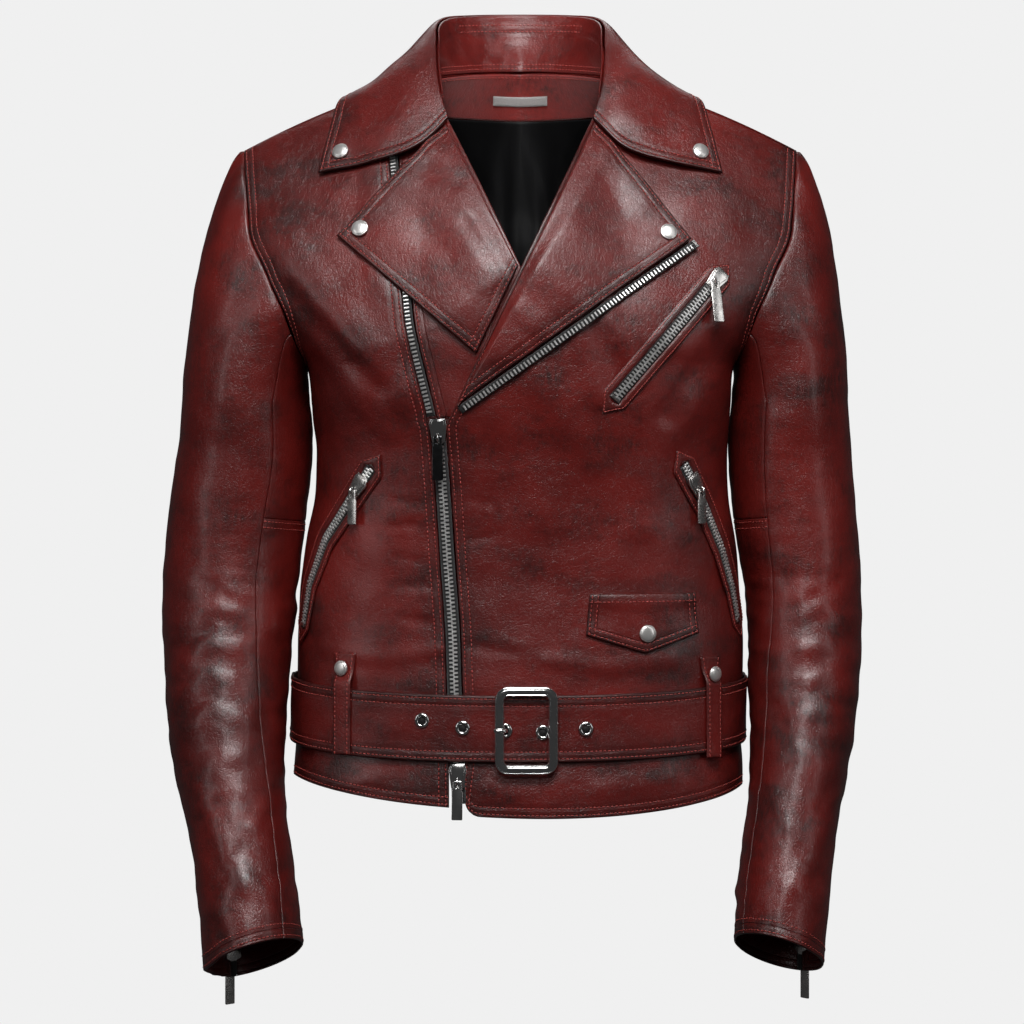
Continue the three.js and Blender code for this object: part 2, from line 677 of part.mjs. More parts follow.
// The armhole at an angle: 0 at the shoulder tip, a quarter turn at the chest.
function armholePoint(name, angle) {
  const turned = ((angle % (2 * Math.PI)) + 2 * Math.PI) % (2 * Math.PI);
  const face = turned <= Math.PI ? "front" : "back";
  const a = face === "front" ? turned : 2 * Math.PI - turned;
  return bodyPoint(sign[name] * armholeTurn(a), armholeZ(a), face);
}

// The direction in which the sleeve head leaves the armhole.
function headDirection(name, angle) {
  const c = Math.cos(angle);
  const s = Math.sin(angle);
  const out = 0.3 + 0.225 * (1 + c) + 0.3 * s * s;
  const down = 0.66 + 0.145 * (1 - c) - 0.15 * s * s;
  return new Vector3(sign[name] * out, -0.25 * s, -down).normalize();
}

// A point of the sleeve: v is 0 at the armhole, 1 at the top of the tube and 2 at the cuff.
function sleevePoint(name, v, angle) {
  if (v >= 1) {
    const [outer, inner] = CUFF_RISE[name];
    const rise = mix(outer, inner, (1 - Math.cos(angle)) / 2) * step(v, 1.8, 2);
    return onRound(sleeveRound(name, mix(SLEEVE_TOP, CUFF_Z, v - 1) + rise), angle);
  }
  const from = armholePoint(name, angle);
  const leave = headDirection(name, angle);
  from.addScaledVector(leave, ARMHOLE_GAP);
  const tube = sleeveRound(name, SLEEVE_TOP);
  const to = onRound(tube, angle);
  const pull = CAP_PULL * to.distanceTo(from);
  return from
    .multiplyScalar(2 * v ** 3 - 3 * v ** 2 + 1)
    .addScaledVector(leave, pull * (v ** 3 - 2 * v ** 2 + v))
    .addScaledVector(to, 3 * v ** 2 - 2 * v ** 3)
    .addScaledVector(tube.down, pull * (v ** 3 - v ** 2));
}

function sleeveNormal(name, v, angle) {
  const small = 0.01;
  const along = sleevePoint(name, Math.min(2, v + small), angle);
  along.sub(sleevePoint(name, Math.max(0, v - small), angle));
  const round = sleevePoint(name, v, angle + small).sub(sleevePoint(name, v, angle - small));
  const normal = round.cross(along).normalize();
  return sign[name] > 0 ? normal : normal.negate();
}

// The two long seams at v, in degrees: where the upper sleeve meets the under sleeve.
function sleeveSeams(name, v) {
  if (v >= 1) {
    const z = mix(SLEEVE_TOP, CUFF_Z, v - 1);
    return [read(SLEEVES[name], z, 5), read(SLEEVES[name], z, 6)];
  }
  const [, , , , , front, back] = SLEEVES[name][0];
  return [mix(135, front, v), mix(225, back, v)];
}

// A piece of sleeve between its two seams, for the rounds in `rounds`.
function sleevePiece(name, rounds, upper) {
  return rounds.map((v) => {
    const [front, back] = sleeveSeams(name, v);
    const openAtBack = v > sleeveV(CUFF_ZIP_TOP) - 0.001;
    const trim = (gap) => (gap / 55) * (180 / Math.PI);
    const backTrim = trim(openAtBack ? ZIP_HALF + ZIP_GAP : SEAM / 2);
    const frontTrim = trim(SEAM / 2);
    const from = upper ? back - 360 + backTrim : front + frontTrim;
    const to = upper ? front - frontTrim : back - backTrim;
    const columns = upper ? 18 : 8;
    return spread(columns).map((t) => {
      const angle = radians(mix(from, to, t));
      return { point: sleevePoint(name, v, angle), normal: sleeveNormal(name, v, angle) };
    });
  });
}

const crossSeam = sleeveV(CROSS_SEAM_Z);
const crossGap = SEAM / 2 / (SLEEVE_TOP - CUFF_Z);
for (const name of ["right", "left"]) {
  const tube = SLEEVES[name].map(([z]) => sleeveV(z));
  const rounds = [...CAP_STEPS, ...tube];
  const above = [...rounds.filter((v) => v < crossSeam - 0.01), crossSeam - crossGap];
  const below = [crossSeam + crossGap, ...rounds.filter((v) => v > crossSeam + 0.01)];
  add(`sleeve_upper_${name}`, shell(sleevePiece(name, rounds, true), LEATHER), HIDE);
  add(`sleeve_under_${name}`, shell(sleevePiece(name, above, false), LEATHER), HIDE);
  add(`forearm_under_${name}`, shell(sleevePiece(name, below, false), LEATHER), HIDE);
}

// ---- Belt and belt loops ----------------------------------------------------------------------

const beltTop = (turn) => {
  const ahead = Math.abs(turn) < Math.PI / 2 ? Math.cos(turn) ** 1.5 : 0;
  return mix(BELT.sideTop, BELT.frontTop, ahead);
};

// A place on the whole round of the body: turn is 0 ahead and a half turn behind.
function aroundBody(turn, z) {
  const face = Math.abs(turn) > Math.PI / 2 ? "back" : "front";
  const x = mix(centre(z) + halfWidth(z) * Math.sin(turn), bodyX(Math.asin(Math.sin(turn)), z), 0.5);
  return place(x, z, face);
}

const beltRound = spread(BELT.columns).slice(0, -1).map((t) => mix(-Math.PI, Math.PI, t));
const beltCells = [0, BELT.width / 2, BELT.width].map((fall) =>
  beltRound.map((turn) => ({
    ...aroundBody(turn, beltTop(turn) - fall),
    lift: BELT.under + BELT.thick,
  })),
);
add("belt", shell(beltCells, BELT.thick, { closed: true }), HIDE);

// A flat strip along a line of [x, z] points on the body. `lift` may change along it.
function ribbon(points, half, thickness, lift, rows, face = "front") {
  const cells = spread(rows).map((t) => {
    const here = place(...along(points, t), face);
    const before = place(...along(points, Math.max(0, t - 0.02)), face).point;
    const after = place(...along(points, Math.min(1, t + 0.02)), face).point;
    const across = after.sub(before).cross(here.normal).normalize();
    const raise = typeof lift === "function" ? lift(here.point) : lift;
    return [-1, 0, 1].map((k) => ({
      point: here.point.clone().addScaledVector(across, k * half),
      normal: here.normal,
      lift: raise,
    }));
  });
  return shell(cells, thickness);
}

// A loop is sewn above the belt, passes over it and ends below it.
function loopLift({ z }) {
  const overBelt = BELT.under + BELT.thick + LOOP.wall + 0.8;
  return mix(overBelt, LOOP.sewn, step(z, BELT.sideTop - 2, BELT.sideTop + 12));
}

for (const [name, { x, top, foot, face }] of Object.entries(LOOPS)) {
  const line = [[x, top], [x, foot]];
  add(name, ribbon(line, LOOP.width / 2, LOOP.wall, loopLift, 9, face), HIDE);
}

// ---- Pockets ----------------------------------------------------------------------------------

// The [x, z] outline round a pocket's zip, `half` to each side and `tip` past its ends.
function outline(points, half, tip) {
  const steps = spread(7);
  const sideOf = (side) =>
    steps.map((t) => {
      const here = place(...along(points, t));
      const before = place(...along(points, Math.max(0, t - 0.02))).point;
      const after = place(...along(points, Math.min(1, t + 0.02))).point;
      const across = after.sub(before).cross(here.normal).normalize();
      return here.point.addScaledVector(across, side * half);
    });
  const end = (t, from) => {
    const here = place(...along(points, t)).point;
    const near = place(...along(points, from)).point;
    return here.clone().addScaledVector(here.clone().sub(near).normalize(), tip);
  };
  return [...sideOf(1), end(1, 0.95), ...sideOf(-1).reverse(), end(0, 0.05)];
}

function welt(points, { slot, half, tip }) {
  const loops = [outline(points, slot, 2), outline(points, half, tip)];
  const cells = loops.map((loop) => loop.map((p) => ({ ...place(p.x, p.z), lift: WELT.lift })));
  return shell(cells, WELT.wall, { closed: true });
}

add("chest_welt", welt(CHEST_POCKET, WELT), HIDE);
add("hand_welt_right", welt(HAND_POCKETS.right, WELT), HIDE);
add("hand_welt_left", welt(HAND_POCKETS.left, WELT), HIDE);

const flapFoot = (x) => {
  const [tipX, tipZ] = COIN_FLAP.point;
  const far = x < tipX ? COIN_FLAP.left : COIN_FLAP.right;
  return mix(tipZ, COIN_FLAP.side, Math.abs(x - tipX) / Math.abs(far - tipX));
};
const flapCells = spread(8).map((t) => {
  const [tipX] = COIN_FLAP.point;
  const x = t < 0.5 ? mix(COIN_FLAP.left, tipX, 2 * t) : mix(tipX, COIN_FLAP.right, 2 * t - 1);
  return spread(3).map((k) => ({
    ...place(x + COIN_FLAP.flare * (2 * t - 1) * k, mix(COIN_FLAP.top, flapFoot(x), k)),
    lift: COIN_FLAP.lift,
  }));
});
add("coin_flap", shell(flapCells, COIN_FLAP.wall), HIDE);

// ---- Zips -------------------------------------------------------------------------------------

const rightBranch = spread(8).map((t) => {
  const z = mix(RIGHT_ZIP_TOP, ZIP_MEETS + 3, t);
  return [lineX(RIGHT_ZIP_LINE, z), z];
});
const closedZip = spread(8).map((t) => {
  const z = mix(ZIP_MEETS - 4, CLOSED_ZIP_FOOT, t);
  return [lineX(CLOSED_ZIP_LINE, z), z];
});
const leftBranchLift = ({ x, z }) => overlapLift(x, z) + mix(4.6, 2.2, step(x, 0, -50));

add("zip_main_right", ribbon(rightBranch, ZIP_HALF, ZIP_WALL, 0.9, 12), TAPE);
add("zip_main_left", ribbon(LEFT_ZIP_LINE, ZIP_HALF, ZIP_WALL, leftBranchLift, 12), TAPE);
add("zip_main_closed", ribbon(closedZip, CLOSED_ZIP_HALF - 0.4, ZIP_WALL, 0.9, 12), TAPE);
add("zip_chest", ribbon(CHEST_POCKET, POCKET_ZIP_HALF, ZIP_WALL - 0.4, WELT.lift + 0.4, 8), TAPE);
for (const name of ["right", "left"]) {
  const cells = HAND_POCKETS[name];
  add(`zip_hand_${name}`, ribbon(cells, POCKET_ZIP_HALF, ZIP_WALL - 0.4, WELT.lift + 0.4, 8), TAPE);
}

// The zip in the back seam of each cuff.
function cuffZip(name) {
  const top = sleeveV(CUFF_ZIP_TOP) + 0.012;
  return spread(6).map((t) => {
    const v = mix(top, 2, t);
    const [, back] = sleeveSeams(name, v);
    return [-1, 0, 1].map((k) => {
      const angle = radians(back) + (k * (ZIP_HALF - 0.2)) / 55;
      return { point: sleevePoint(name, v, angle), normal: sleeveNormal(name, v, angle), lift: 0.6 };
    });
  });
}
add("zip_cuff_right", shell(cuffZip("right"), ZIP_WALL), TAPE);
add("zip_cuff_left", shell(cuffZip("left"), ZIP_WALL), TAPE);

// ---- Metal pieces -----------------------------------------------------------------------------

function toManifold(geometry) {
  const plain = geometry.clone();
  plain.deleteAttribute("normal");
  plain.deleteAttribute("uv");
  const merged = mergeVertices(plain, 1e-4);
  return new wasm.Manifold(new wasm.Mesh({
    numProp: 3,
    vertProperties: new Float32Array(merged.attributes.position.array),
    triVerts: new Uint32Array(merged.index.array),
  }));
}

function fromManifold(manifold) {
  const { vertProperties, triVerts } = manifold.getMesh();
  const geometry = new THREE.BufferGeometry();
  geometry.setAttribute("position", new THREE.Float32BufferAttribute(vertProperties, 3));
  geometry.setIndex(new THREE.Uint32BufferAttribute(triVerts, 1));
  return geometry;
}

// A turned frame at a point: x across, y up along the piece, z outward.
function frameAt(origin, up, outward) {
  const across = up.clone().cross(outward).normalize();
  const upward = outward.clone().cross(across).normalize();
  return new THREE.Matrix4().makeBasis(across, upward, outward.clone().normalize()).setPosition(origin);
}

function placed(mesh, matrix) {
  matrix.decompose(mesh.position, mesh.quaternion, mesh.scale);
  return mesh;
}

const VERTICAL = new Vector3(0, 0, 1);

function roundedOutline(width, height, radius, target = new Shape()) {
  const [w, h] = [width / 2, height / 2];
  target.moveTo(-w + radius, -h);
  target.lineTo(w - radius, -h);
  target.absarc(w - radius, -h + radius, radius, -Math.PI / 2, 0);
  target.lineTo(w, h - radius);
  target.absarc(w - radius, h - radius, radius, 0, Math.PI / 2);
  target.lineTo(-w + radius, h);
  target.absarc(-w + radius, h - radius, radius, Math.PI / 2, Math.PI);
  target.lineTo(-w, -h + radius);
  target.absarc(-w + radius, -h + radius, radius, Math.PI, Math.PI * 1.5);
  return target;
}

// Snap: a low polished dome on a flat base.
function snapGeometry() {
  const dome = spread(4).map((t) => {
    const angle = (t * Math.PI) / 2;
    const height = 0.8 + (SNAP.height - 0.8) * Math.sin(angle);
    return new THREE.Vector2(SNAP.radius * Math.cos(angle), height);
  });
  dome[dome.length - 1].x = 0;
  const profile = [new THREE.Vector2(0, 0), new THREE.Vector2(SNAP.radius, 0), ...dome];
  return new THREE.LatheGeometry(profile, 14).rotateX(Math.PI / 2);
}

function eyeletGeometry() {
  const { outer, inner, height } = EYELET;
  const rim = [[inner, 0], [outer, 0], [outer - 0.6, height * 0.7], [(outer + inner) / 2, height],
    [inner, height * 0.6], [inner, 0]];
  const profile = rim.map(([r, h]) => new THREE.Vector2(r, h));
  return new THREE.LatheGeometry(profile, 16).rotateX(Math.PI / 2);
}

function addSnap(name, point, normal) {
  placed(add(name, snapGeometry(), STEEL), frameAt(point, VERTICAL, normal));
}

const onBody = (x, z, lift) => {
  const spot = place(x, z);
  return [spot.at(lift), spot.normal];
};

for (const [name, [x, z, lift]] of Object.entries(SNAPS)) addSnap(name, ...onBody(x, z, lift + 0.4));
for (const [name, v] of [["snap_collar_right", COLLAR_SNAP.v], ["snap_collar_left", 1 - COLLAR_SNAP.v]]) {
  const normal = collarNormal(v, COLLAR_SNAP.k);
  addSnap(name, collarAt(v, COLLAR_SNAP.k).addScaledVector(normal, 0.6), normal);
}

const beltOut = BELT.under + BELT.thick;
EYELETS.forEach(([x, z], index) => {
  const [point, normal] = onBody(x, z, beltOut + 0.3);
  placed(add(`eyelet_${index + 1}`, eyeletGeometry(), STEEL), frameAt(point, VERTICAL, normal));
});

// Buckle: a rounded frame that stands on the belt, and its prong over the bar on the wearer's right.
const buckleShape = roundedOutline(BUCKLE.width - 2, BUCKLE.height - 2, 9);
const opening = [BUCKLE.width, BUCKLE.height].map((size) => size - 2 * BUCKLE.bar);
buckleShape.holes.push(roundedOutline(opening[0], opening[1], 4, new Path()));
const buckleGeometry = new THREE.ExtrudeGeometry(buckleShape, {
  depth: BUCKLE.thick - 1.6, bevelThickness: 0.8, bevelSize: 1, bevelSegments: 1, curveSegments: 5,
}).translate(0, 0, 0.8);
const [bucklePoint, buckleNormal] = onBody(BUCKLE.x, BUCKLE.z, beltOut + BUCKLE.stand);
const buckleFrame = frameAt(bucklePoint, VERTICAL, buckleNormal);
placed(add("buckle_frame", buckleGeometry, STEEL), buckleFrame);

const prongShape = new Shape();
const prongTop = BUCKLE.thick + 0.4;
prongShape.moveTo(0, prongTop);
prongShape.lineTo(PRONG.reach, prongTop);
prongShape.lineTo(PRONG.reach, PRONG.foot);
prongShape.lineTo(PRONG.reach + PRONG.wall, PRONG.foot);
prongShape.lineTo(PRONG.reach + PRONG.wall, prongTop + PRONG.wall);
prongShape.lineTo(0, prongTop + PRONG.wall);
const prongGeometry = new THREE.ExtrudeGeometry(prongShape, { depth: PRONG.width, bevelEnabled: false })
  .rotateX(Math.PI / 2)
  .translate(-BUCKLE.width / 2 + 0.5, PRONG.width / 2, 0);
placed(add("buckle_prong", prongGeometry, STEEL), buckleFrame);

// ---- Sliders and pull tabs ----------------------------------------------------------------------

function sliderBody() {
  const [w, f, h] = [SLIDER.top / 2, SLIDER.foot / 2, SLIDER.height / 2];
  const shape = new Shape();
  shape.moveTo(-f, -h);
  shape.lineTo(f, -h);
  shape.lineTo(w, h * 0.5);
  shape.lineTo(w * 0.8, h);
  shape.lineTo(-w * 0.8, h);
  shape.lineTo(-w, h * 0.5);
  const depth = SLIDER.thick;
  return new THREE.ExtrudeGeometry(shape, { depth, bevelEnabled: false })
    .translate(0, SLIDER.above, -depth - HINGE_HEIGHT);
}

// The bail is a half ring about the hinge line, with its feet in the slider.
function bailGeometry() {
  const foot = -HINGE_HEIGHT - 0.6;
  const shape = new Shape();
  shape.moveTo(BAIL.outer, foot);
  shape.lineTo(BAIL.outer, 0);
  shape.absarc(0, 0, BAIL.outer, 0, Math.PI);
  shape.lineTo(-BAIL.outer, foot);
  shape.lineTo(-BAIL.inner, foot);
  shape.lineTo(-BAIL.inner, 0);
  shape.absarc(0, 0, BAIL.inner, Math.PI, 0, true);
  shape.lineTo(BAIL.inner, foot);
  const depth = 2 * BAIL.half;
  const geometry = new THREE.ExtrudeGeometry(shape, { depth, bevelEnabled: false, curveSegments: 5 });
  // The shape's x runs up the slider, its y outward and its extrusion across.
  const basis = new THREE.Matrix4().makeBasis(
    new Vector3(0, 1, 0), new Vector3(0, 0, 1), new Vector3(1, 0, 0));
  return geometry.translate(0, 0, -BAIL.half).applyMatrix4(basis);
}

// A flat tab with an eye. Its top bar is the hinge and passes under the bail.
function pullGeometry(length) {
  const shape = new Shape();
  const half = PULL.width / 2;
  shape.moveTo(-half + 1, PULL.bar);
  shape.lineTo(-half, PULL.bar - 1);
  shape.lineTo(-half, -length);
  shape.lineTo(half, -length);
  shape.lineTo(half, PULL.bar - 1);
  shape.lineTo(half - 1, PULL.bar);
  const eye = new Path();
  eye.moveTo(-PULL.window, -PULL.bar);
  eye.lineTo(-PULL.window, -PULL.slot);
  eye.lineTo(PULL.window, -PULL.slot);
  eye.lineTo(PULL.window, -PULL.bar);
  shape.holes.push(eye);
  return new THREE.ExtrudeGeometry(shape, { depth: PULL.thick, bevelEnabled: false })
    .translate(0, 0, -PULL.thick / 2);
}

// A slider on a surface, its nose along `along`, with a tab that hangs from it.
function addSlider(name, { point, normal }, lift, direction, length) {
  const hinge = point.clone().addScaledVector(normal, lift + SLIDER.thick + HINGE_HEIGHT);
  const level = VERTICAL.clone().cross(normal).normalize();
  const downhill = level.clone().cross(normal).normalize();
  const outward = new Vector3(normal.x, normal.y, 0).normalize();
  const hang = downhill.dot(outward) < 0 ? new Vector3(0, 0, -1) : downhill;
  const pullFrame = frameAt(hinge, hang.clone().negate(), hang.clone().cross(level));
  const bodyFrame = frameAt(hinge, direction, normal);
  const bail = bailGeometry().applyMatrix4(pullFrame);
  const body = sliderBody().applyMatrix4(bodyFrame);
  add(`slider_${name}`, fromManifold(toManifold(body).add(toManifold(bail))), STEEL);
  placed(add(`pull_${name}`, pullGeometry(length), STEEL), pullFrame);
}

// Direction up a line of [x, z] points on the body at one of its ends.
function lineUp(points, t) {
  const [a, b] = [Math.min(1, t + 0.03), Math.max(0, t - 0.03)];
  return place(...along(points, b)).point.sub(place(...along(points, a)).point).normalize();
}

const stripTop = WELT.lift + 0.4;
addSlider("main", place(...SLIDERS.main), 1.5, lineUp(closedZip, 0), 34);
addSlider("main_foot", place(...SLIDERS.foot), 1.8, lineUp(closedZip, 1), 30);
addSlider("chest", place(...along(CHEST_POCKET, SLIDERS.chest)), stripTop + 0.4, lineUp(CHEST_POCKET, 0), 33);
for (const name of ["right", "left"]) {
  const line = HAND_POCKETS[name];
  addSlider(`hand_${name}`, place(...along(line, SLIDERS[name])), stripTop + 0.4, lineUp(line, 0.1), 27);
  const v = 2 - CUFF_SLIDER_V;
  const angle = radians(sleeveSeams(name, v)[1]);
  const spot = { point: sleevePoint(name, v, angle), normal: sleeveNormal(name, v, angle) };
  const up = sleevePoint(name, v - 0.05, angle).sub(spot.point).normalize();
  addSlider(`cuff_${name}`, spot, 1, up, 30);
}

export default parts;
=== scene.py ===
import math

import bmesh
import bpy
import numpy as np
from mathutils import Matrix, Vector


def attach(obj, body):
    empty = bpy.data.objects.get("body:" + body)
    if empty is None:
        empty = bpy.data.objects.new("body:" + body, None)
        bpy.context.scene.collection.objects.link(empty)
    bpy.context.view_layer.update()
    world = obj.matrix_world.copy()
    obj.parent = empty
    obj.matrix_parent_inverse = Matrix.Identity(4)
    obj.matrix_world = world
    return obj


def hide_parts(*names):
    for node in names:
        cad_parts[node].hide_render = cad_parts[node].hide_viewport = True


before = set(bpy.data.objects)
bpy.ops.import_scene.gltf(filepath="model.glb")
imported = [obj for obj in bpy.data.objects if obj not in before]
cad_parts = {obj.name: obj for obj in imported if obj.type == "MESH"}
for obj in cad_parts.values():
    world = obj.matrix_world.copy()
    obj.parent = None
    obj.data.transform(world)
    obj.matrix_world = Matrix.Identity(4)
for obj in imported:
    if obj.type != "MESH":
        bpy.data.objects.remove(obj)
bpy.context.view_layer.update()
BODY_NAME = "jacket"
MM = 0.001
rng = np.random.default_rng(7)

# ---- Dimensions of the CAD model --------------------------------------------------------------

SEAM_Y = 4
NECK_X, NECK_Z = 80, 18
SHOULDER_X, SHOULDER_BOW = 228, 5
BACK_NECK_Z = 30
NECK_RISE = {"front": 20, "back": 50}
CHEST_DROP = {"front": 215, "back": 190}
CHEST_ROUND = {"front": 1.3, "back": 1.6}
ARM_TOP, ARM_HEIGHT, ARM_TURN, ARM_DIP = -42, 180, 54.3, 3
SHOULDER_FALL = (NECK_Z - ARM_TOP) / (SHOULDER_X - NECK_X)
UNDERARM_Z = ARM_TOP - ARM_HEIGHT
HEM_SIDE = (-555, -564.5)
HEM_DIP = {"right": 18, "left": 24, "back": 12}
HEM_ROW = -560  # the height that stands for the whole hem
CORNER = 12  # round of the left front's foot
LEATHER = 1.5
HALF_SEAM = 0.15  # half of the gap between two sewn pieces
ZIP_HALF, CLOSED_ZIP_HALF = 3.8, 6.4  # from a zip's middle to the hide beside it


def mix(a, b, t):
    return a + (b - a) * t


def step(x, a, b):
    t = np.clip((np.asarray(x, float) - a) / (b - a), 0, 1)
    return t * t * (3 - 2 * t)


def bump(x, at, half):
    """A soft hill of height 1 at `at`, 0 beyond `half` from it."""
    t = np.clip(np.abs(np.asarray(x, float) - at) / half, 0, 1)
    return (1 - t * t) ** 2


class Table:
    """Values over a key, read by a smooth cubic through the rows."""

    def __init__(self, rows):
        a = np.array(rows, float)
        a = a[np.argsort(a[:, 0])]
        self.key, self.values = a[:, 0], a[:, 1:]

    def __call__(self, key, column=0):
        k, v = self.key, self.values[:, column]
        key = np.asarray(key, float)
        last = len(k) - 1
        i = np.clip(np.searchsorted(k, key, side="right") - 1, 0, last - 1)

        def slope(j):
            a, b = np.clip(j - 1, 0, last), np.clip(j + 1, 0, last)
            return (v[b] - v[a]) / (k[b] - k[a])

        w = k[i + 1] - k[i]
        t = np.clip((key - k[i]) / w, 0, 1)
        rise = v[i] * (2 * t**3 - 3 * t**2 + 1) + v[i + 1] * (3 * t**2 - 2 * t**3)
        return rise + w * (slope(i) * (t**3 - 2 * t**2 + t) + slope(i + 1) * (t**3 - t**2))


# Height: half width, front depth, back depth, centre.
BODY = Table([
    (60, 262, 112, 104, 0), (-110, 262, 113, 106, 0), (-150, 240, 115, 110, 0),
    (-182, 210, 117, 112, 0), (-205, 189, 118, 112, 0), (-222, 177, 118, 111, 0),
    (-250, 174, 117, 108, 0.5), (-290, 171, 113, 104, 1), (-330, 172, 110, 100, 1),
    (-363, 178, 108, 98, 0.5), (-400, 182, 108, 97, 0), (-448, 185, 110, 99, 0),
    (-480, 185, 112, 101, -1), (-535, 185, 114, 104, -2), (-560, 189, 117, 108, -3),
    (-592, 191, 119, 110, -3),
])
# Height: distance out, distance back, half width, half depth, front seam, back seam.
SLEEVES = {
    "right": Table([
        (-250, 229, 6, 53, 66, 120, 236), (-290, 229.5, 8, 56, 65, 119, 238),
        (-345, 236.5, 8, 57, 64.5, 118, 240), (-400, 241.5, 5, 56, 64, 117, 246),
        (-440, 243, -4, 54.5, 63, 120, 252), (-480, 242.8, -16, 51.3, 61, 124, 260),
        (-520, 241.3, -31, 48.3, 58.5, 129, 268), (-560, 237, -47, 44, 56, 134, 277),
        (-600, 229, -64, 40, 54, 138, 286), (-650, 220, -84, 40, 53, 135, 294),
        (-704, 213, -105, 40.5, 52, 133, 300),
    ]),
    "left": Table([
        (-250, 224.5, 6, 48.5, 66, 120, 236), (-290, 224.8, 8, 51.2, 65, 120, 238),
        (-345, 229, 8, 51.3, 64.5, 122, 240), (-400, 235.2, 5, 48.8, 64, 126, 246),
        (-440, 236, -4, 46.8, 63, 130, 253), (-480, 234.5, -16, 45.5, 61, 135, 261),
        (-520, 232.3, -31, 43.2, 58.5, 140, 270), (-560, 226.3, -47, 39, 56, 143, 280),
        (-600, 219.5, -64, 37.2, 54, 146, 290), (-650, 211.5, -84, 37.2, 53, 147, 299),
        (-704, 205, -105, 36.8, 52, 147, 306),
    ]),
}
CUFF_RISE = {"right": (0, 14), "left": (5, 18)}
SLEEVE_TOP, CUFF_Z, CROSS_SEAM_Z, CUFF_ZIP_TOP = -250, -704, -345, -600
TUBE = SLEEVE_TOP - CUFF_Z  # length of a sleeve below the armhole
ARM_RADIUS = 55.0  # mean round of a sleeve


def line(points):
    """x over z for a line of the front, from its [x, z] points."""
    return Table([(z, x) for x, z in points])


RIGHT_ZIP = line([(-107, 20), (-104, -50), (-92, -161), (-88, -194), (-71.5, -262)])
CLOSED_ZIP = line([(-66, -275), (-62.7, -316), (-58.7, -378), (-54.7, -433), (-53, -482),
                   (-50, -545), (-49, -590)])
RIGHT_LAPEL = (((-61, -25), (-2, -143)), ((-148, -118), (-35.5, -213)))
LEFT_LAPEL = (((60, -25), (-50, -255)), ((137, -121.5), (-48.5, -252)))
LEFT_ROLL = ((58, -21), (-56, -263))
LEFT_ZIP = [(139.5, -126), (45, -192.2), (-48, -257.5)]
UNDERLAP = line([(-79, 17), (-59, -21), (0, -143), (12, -170), (4, -205), (-24, -240),
                 (-58, -266)])
CHEST_POCKET = [(160, -150), (118, -199), (74, -250)]
HAND_POCKETS = {
    "right": [(-120, -305), (-140, -336), (-158, -364), (-171, -400), (-177, -436)],
    "left": [(131, -302), (149, -338), (163, -372), (172, -404), (177, -432)],
}
COLLAR_ROLL = [(-59, -44, -18), (-66, -30, 5), (-69, -12, 28), (-70, 8, 50), (-70, 28, 66),
               (-63, 50, 75), (-42, 68, 79), (0, 80, 81)]
COLLAR_EDGE = [(-166, -42, -63), (-159, -24, -30), (-150, 4, 1.5), (-137, 29, -4),
               (-110, 55, -22), (-62, 72, -15), (0, 96, -5)]
COLLAR_FRONT = [(-59, -44, -18), (-84, -55, -42), (-122, -52, -55), (-166, -42, -63)]
NECK_AXIS_Y = 15

# ---- The body's surface ------------------------------------------------------------------------


def ridge(x, face):
    """Height of the shoulder seam and the neck line."""
    x = np.abs(x)
    rise = NECK_RISE[face] * (1 - np.cos(np.pi * np.maximum(0, NECK_X - x) / NECK_X)) / 2
    share = np.maximum(0, x - NECK_X) / (SHOULDER_X - NECK_X)
    return NECK_Z + SHOULDER_FALL * (NECK_X - x) + rise + SHOULDER_BOW * 4 * share * (1 - share)


def squareness(z):
    """Exponent of the body's cross-section: boxy at the chest, rounder at the waist."""
    return mix(3, 2.5, step(z, -222, -300))


def depth(x, z, face):
    """How far the body's outer face stands from its middle plane."""
    n = squareness(z)
    share = np.clip(np.abs((x - BODY(z, 3)) / BODY(z, 0)), 0, 1)
    fall = np.clip((ridge(x, face) - z) / CHEST_DROP[face], 0, 1)
    r = CHEST_ROUND[face]
    chest = (1 - (1 - fall) ** r) ** (1 / r)
    return BODY(z, 1 if face == "front" else 2) * chest * (1 - share**n) ** (1 / n)


def surface(x, z, face="front", lift=0.0):
    """Points of the body's outer face at x and z, moved out by `lift`."""
    x, z = np.broadcast_arrays(np.asarray(x, float), np.asarray(z, float))
    sign = -1 if face == "front" else 1
    point = np.stack([x, SEAM_Y + sign * (depth(x, z, face) + HALF_SEAM), z], -1)
    return point + outward(x, z, face) * np.asarray(lift, float)[..., None]


def outward(x, z, face="front"):
    """Unit directions out of the body at x and z."""
    e = 0.5
    sign = -1 if face == "front" else 1
    dx = (depth(x + e, z, face) - depth(x - e, z, face)) / (2 * e)
    dz = (depth(x, z + e, face) - depth(x, z - e, face)) / (2 * e)
    n = np.stack([-dx, np.full_like(dx, sign), -dz], -1)
    return n / np.linalg.norm(n, axis=-1, keepdims=True)


def body_x(turn, z):
    """x of the body's outer face at a turn from straight ahead."""
    across = np.abs(np.sin(turn)) ** (2 / squareness(z)) * np.sign(turn)
    return BODY(z, 3) + BODY(z, 0) * across


def hem_z(x, face):
    """Height of the hem, which dips in front and behind."""
    front = np.where(x < CLOSED_ZIP(HEM_ROW), HEM_DIP["right"], HEM_DIP["left"])
    dip = HEM_DIP["back"] if face == "back" else front
    lean = np.sqrt(1 - np.clip((x + 3) / 189, -1, 1) ** 2)
    return mix(HEM_SIDE[0], HEM_SIDE[1], (x / 191 + 1) / 2) - dip * lean**1.5


def overlap(x, z):
    """How far the left front stands out where it laps the right one."""
    return 4.5 * (1 - step(x, 10, 95)) * step(z, -300, -235)


# ---- Meshes -----------------------------------------------------------------------------------


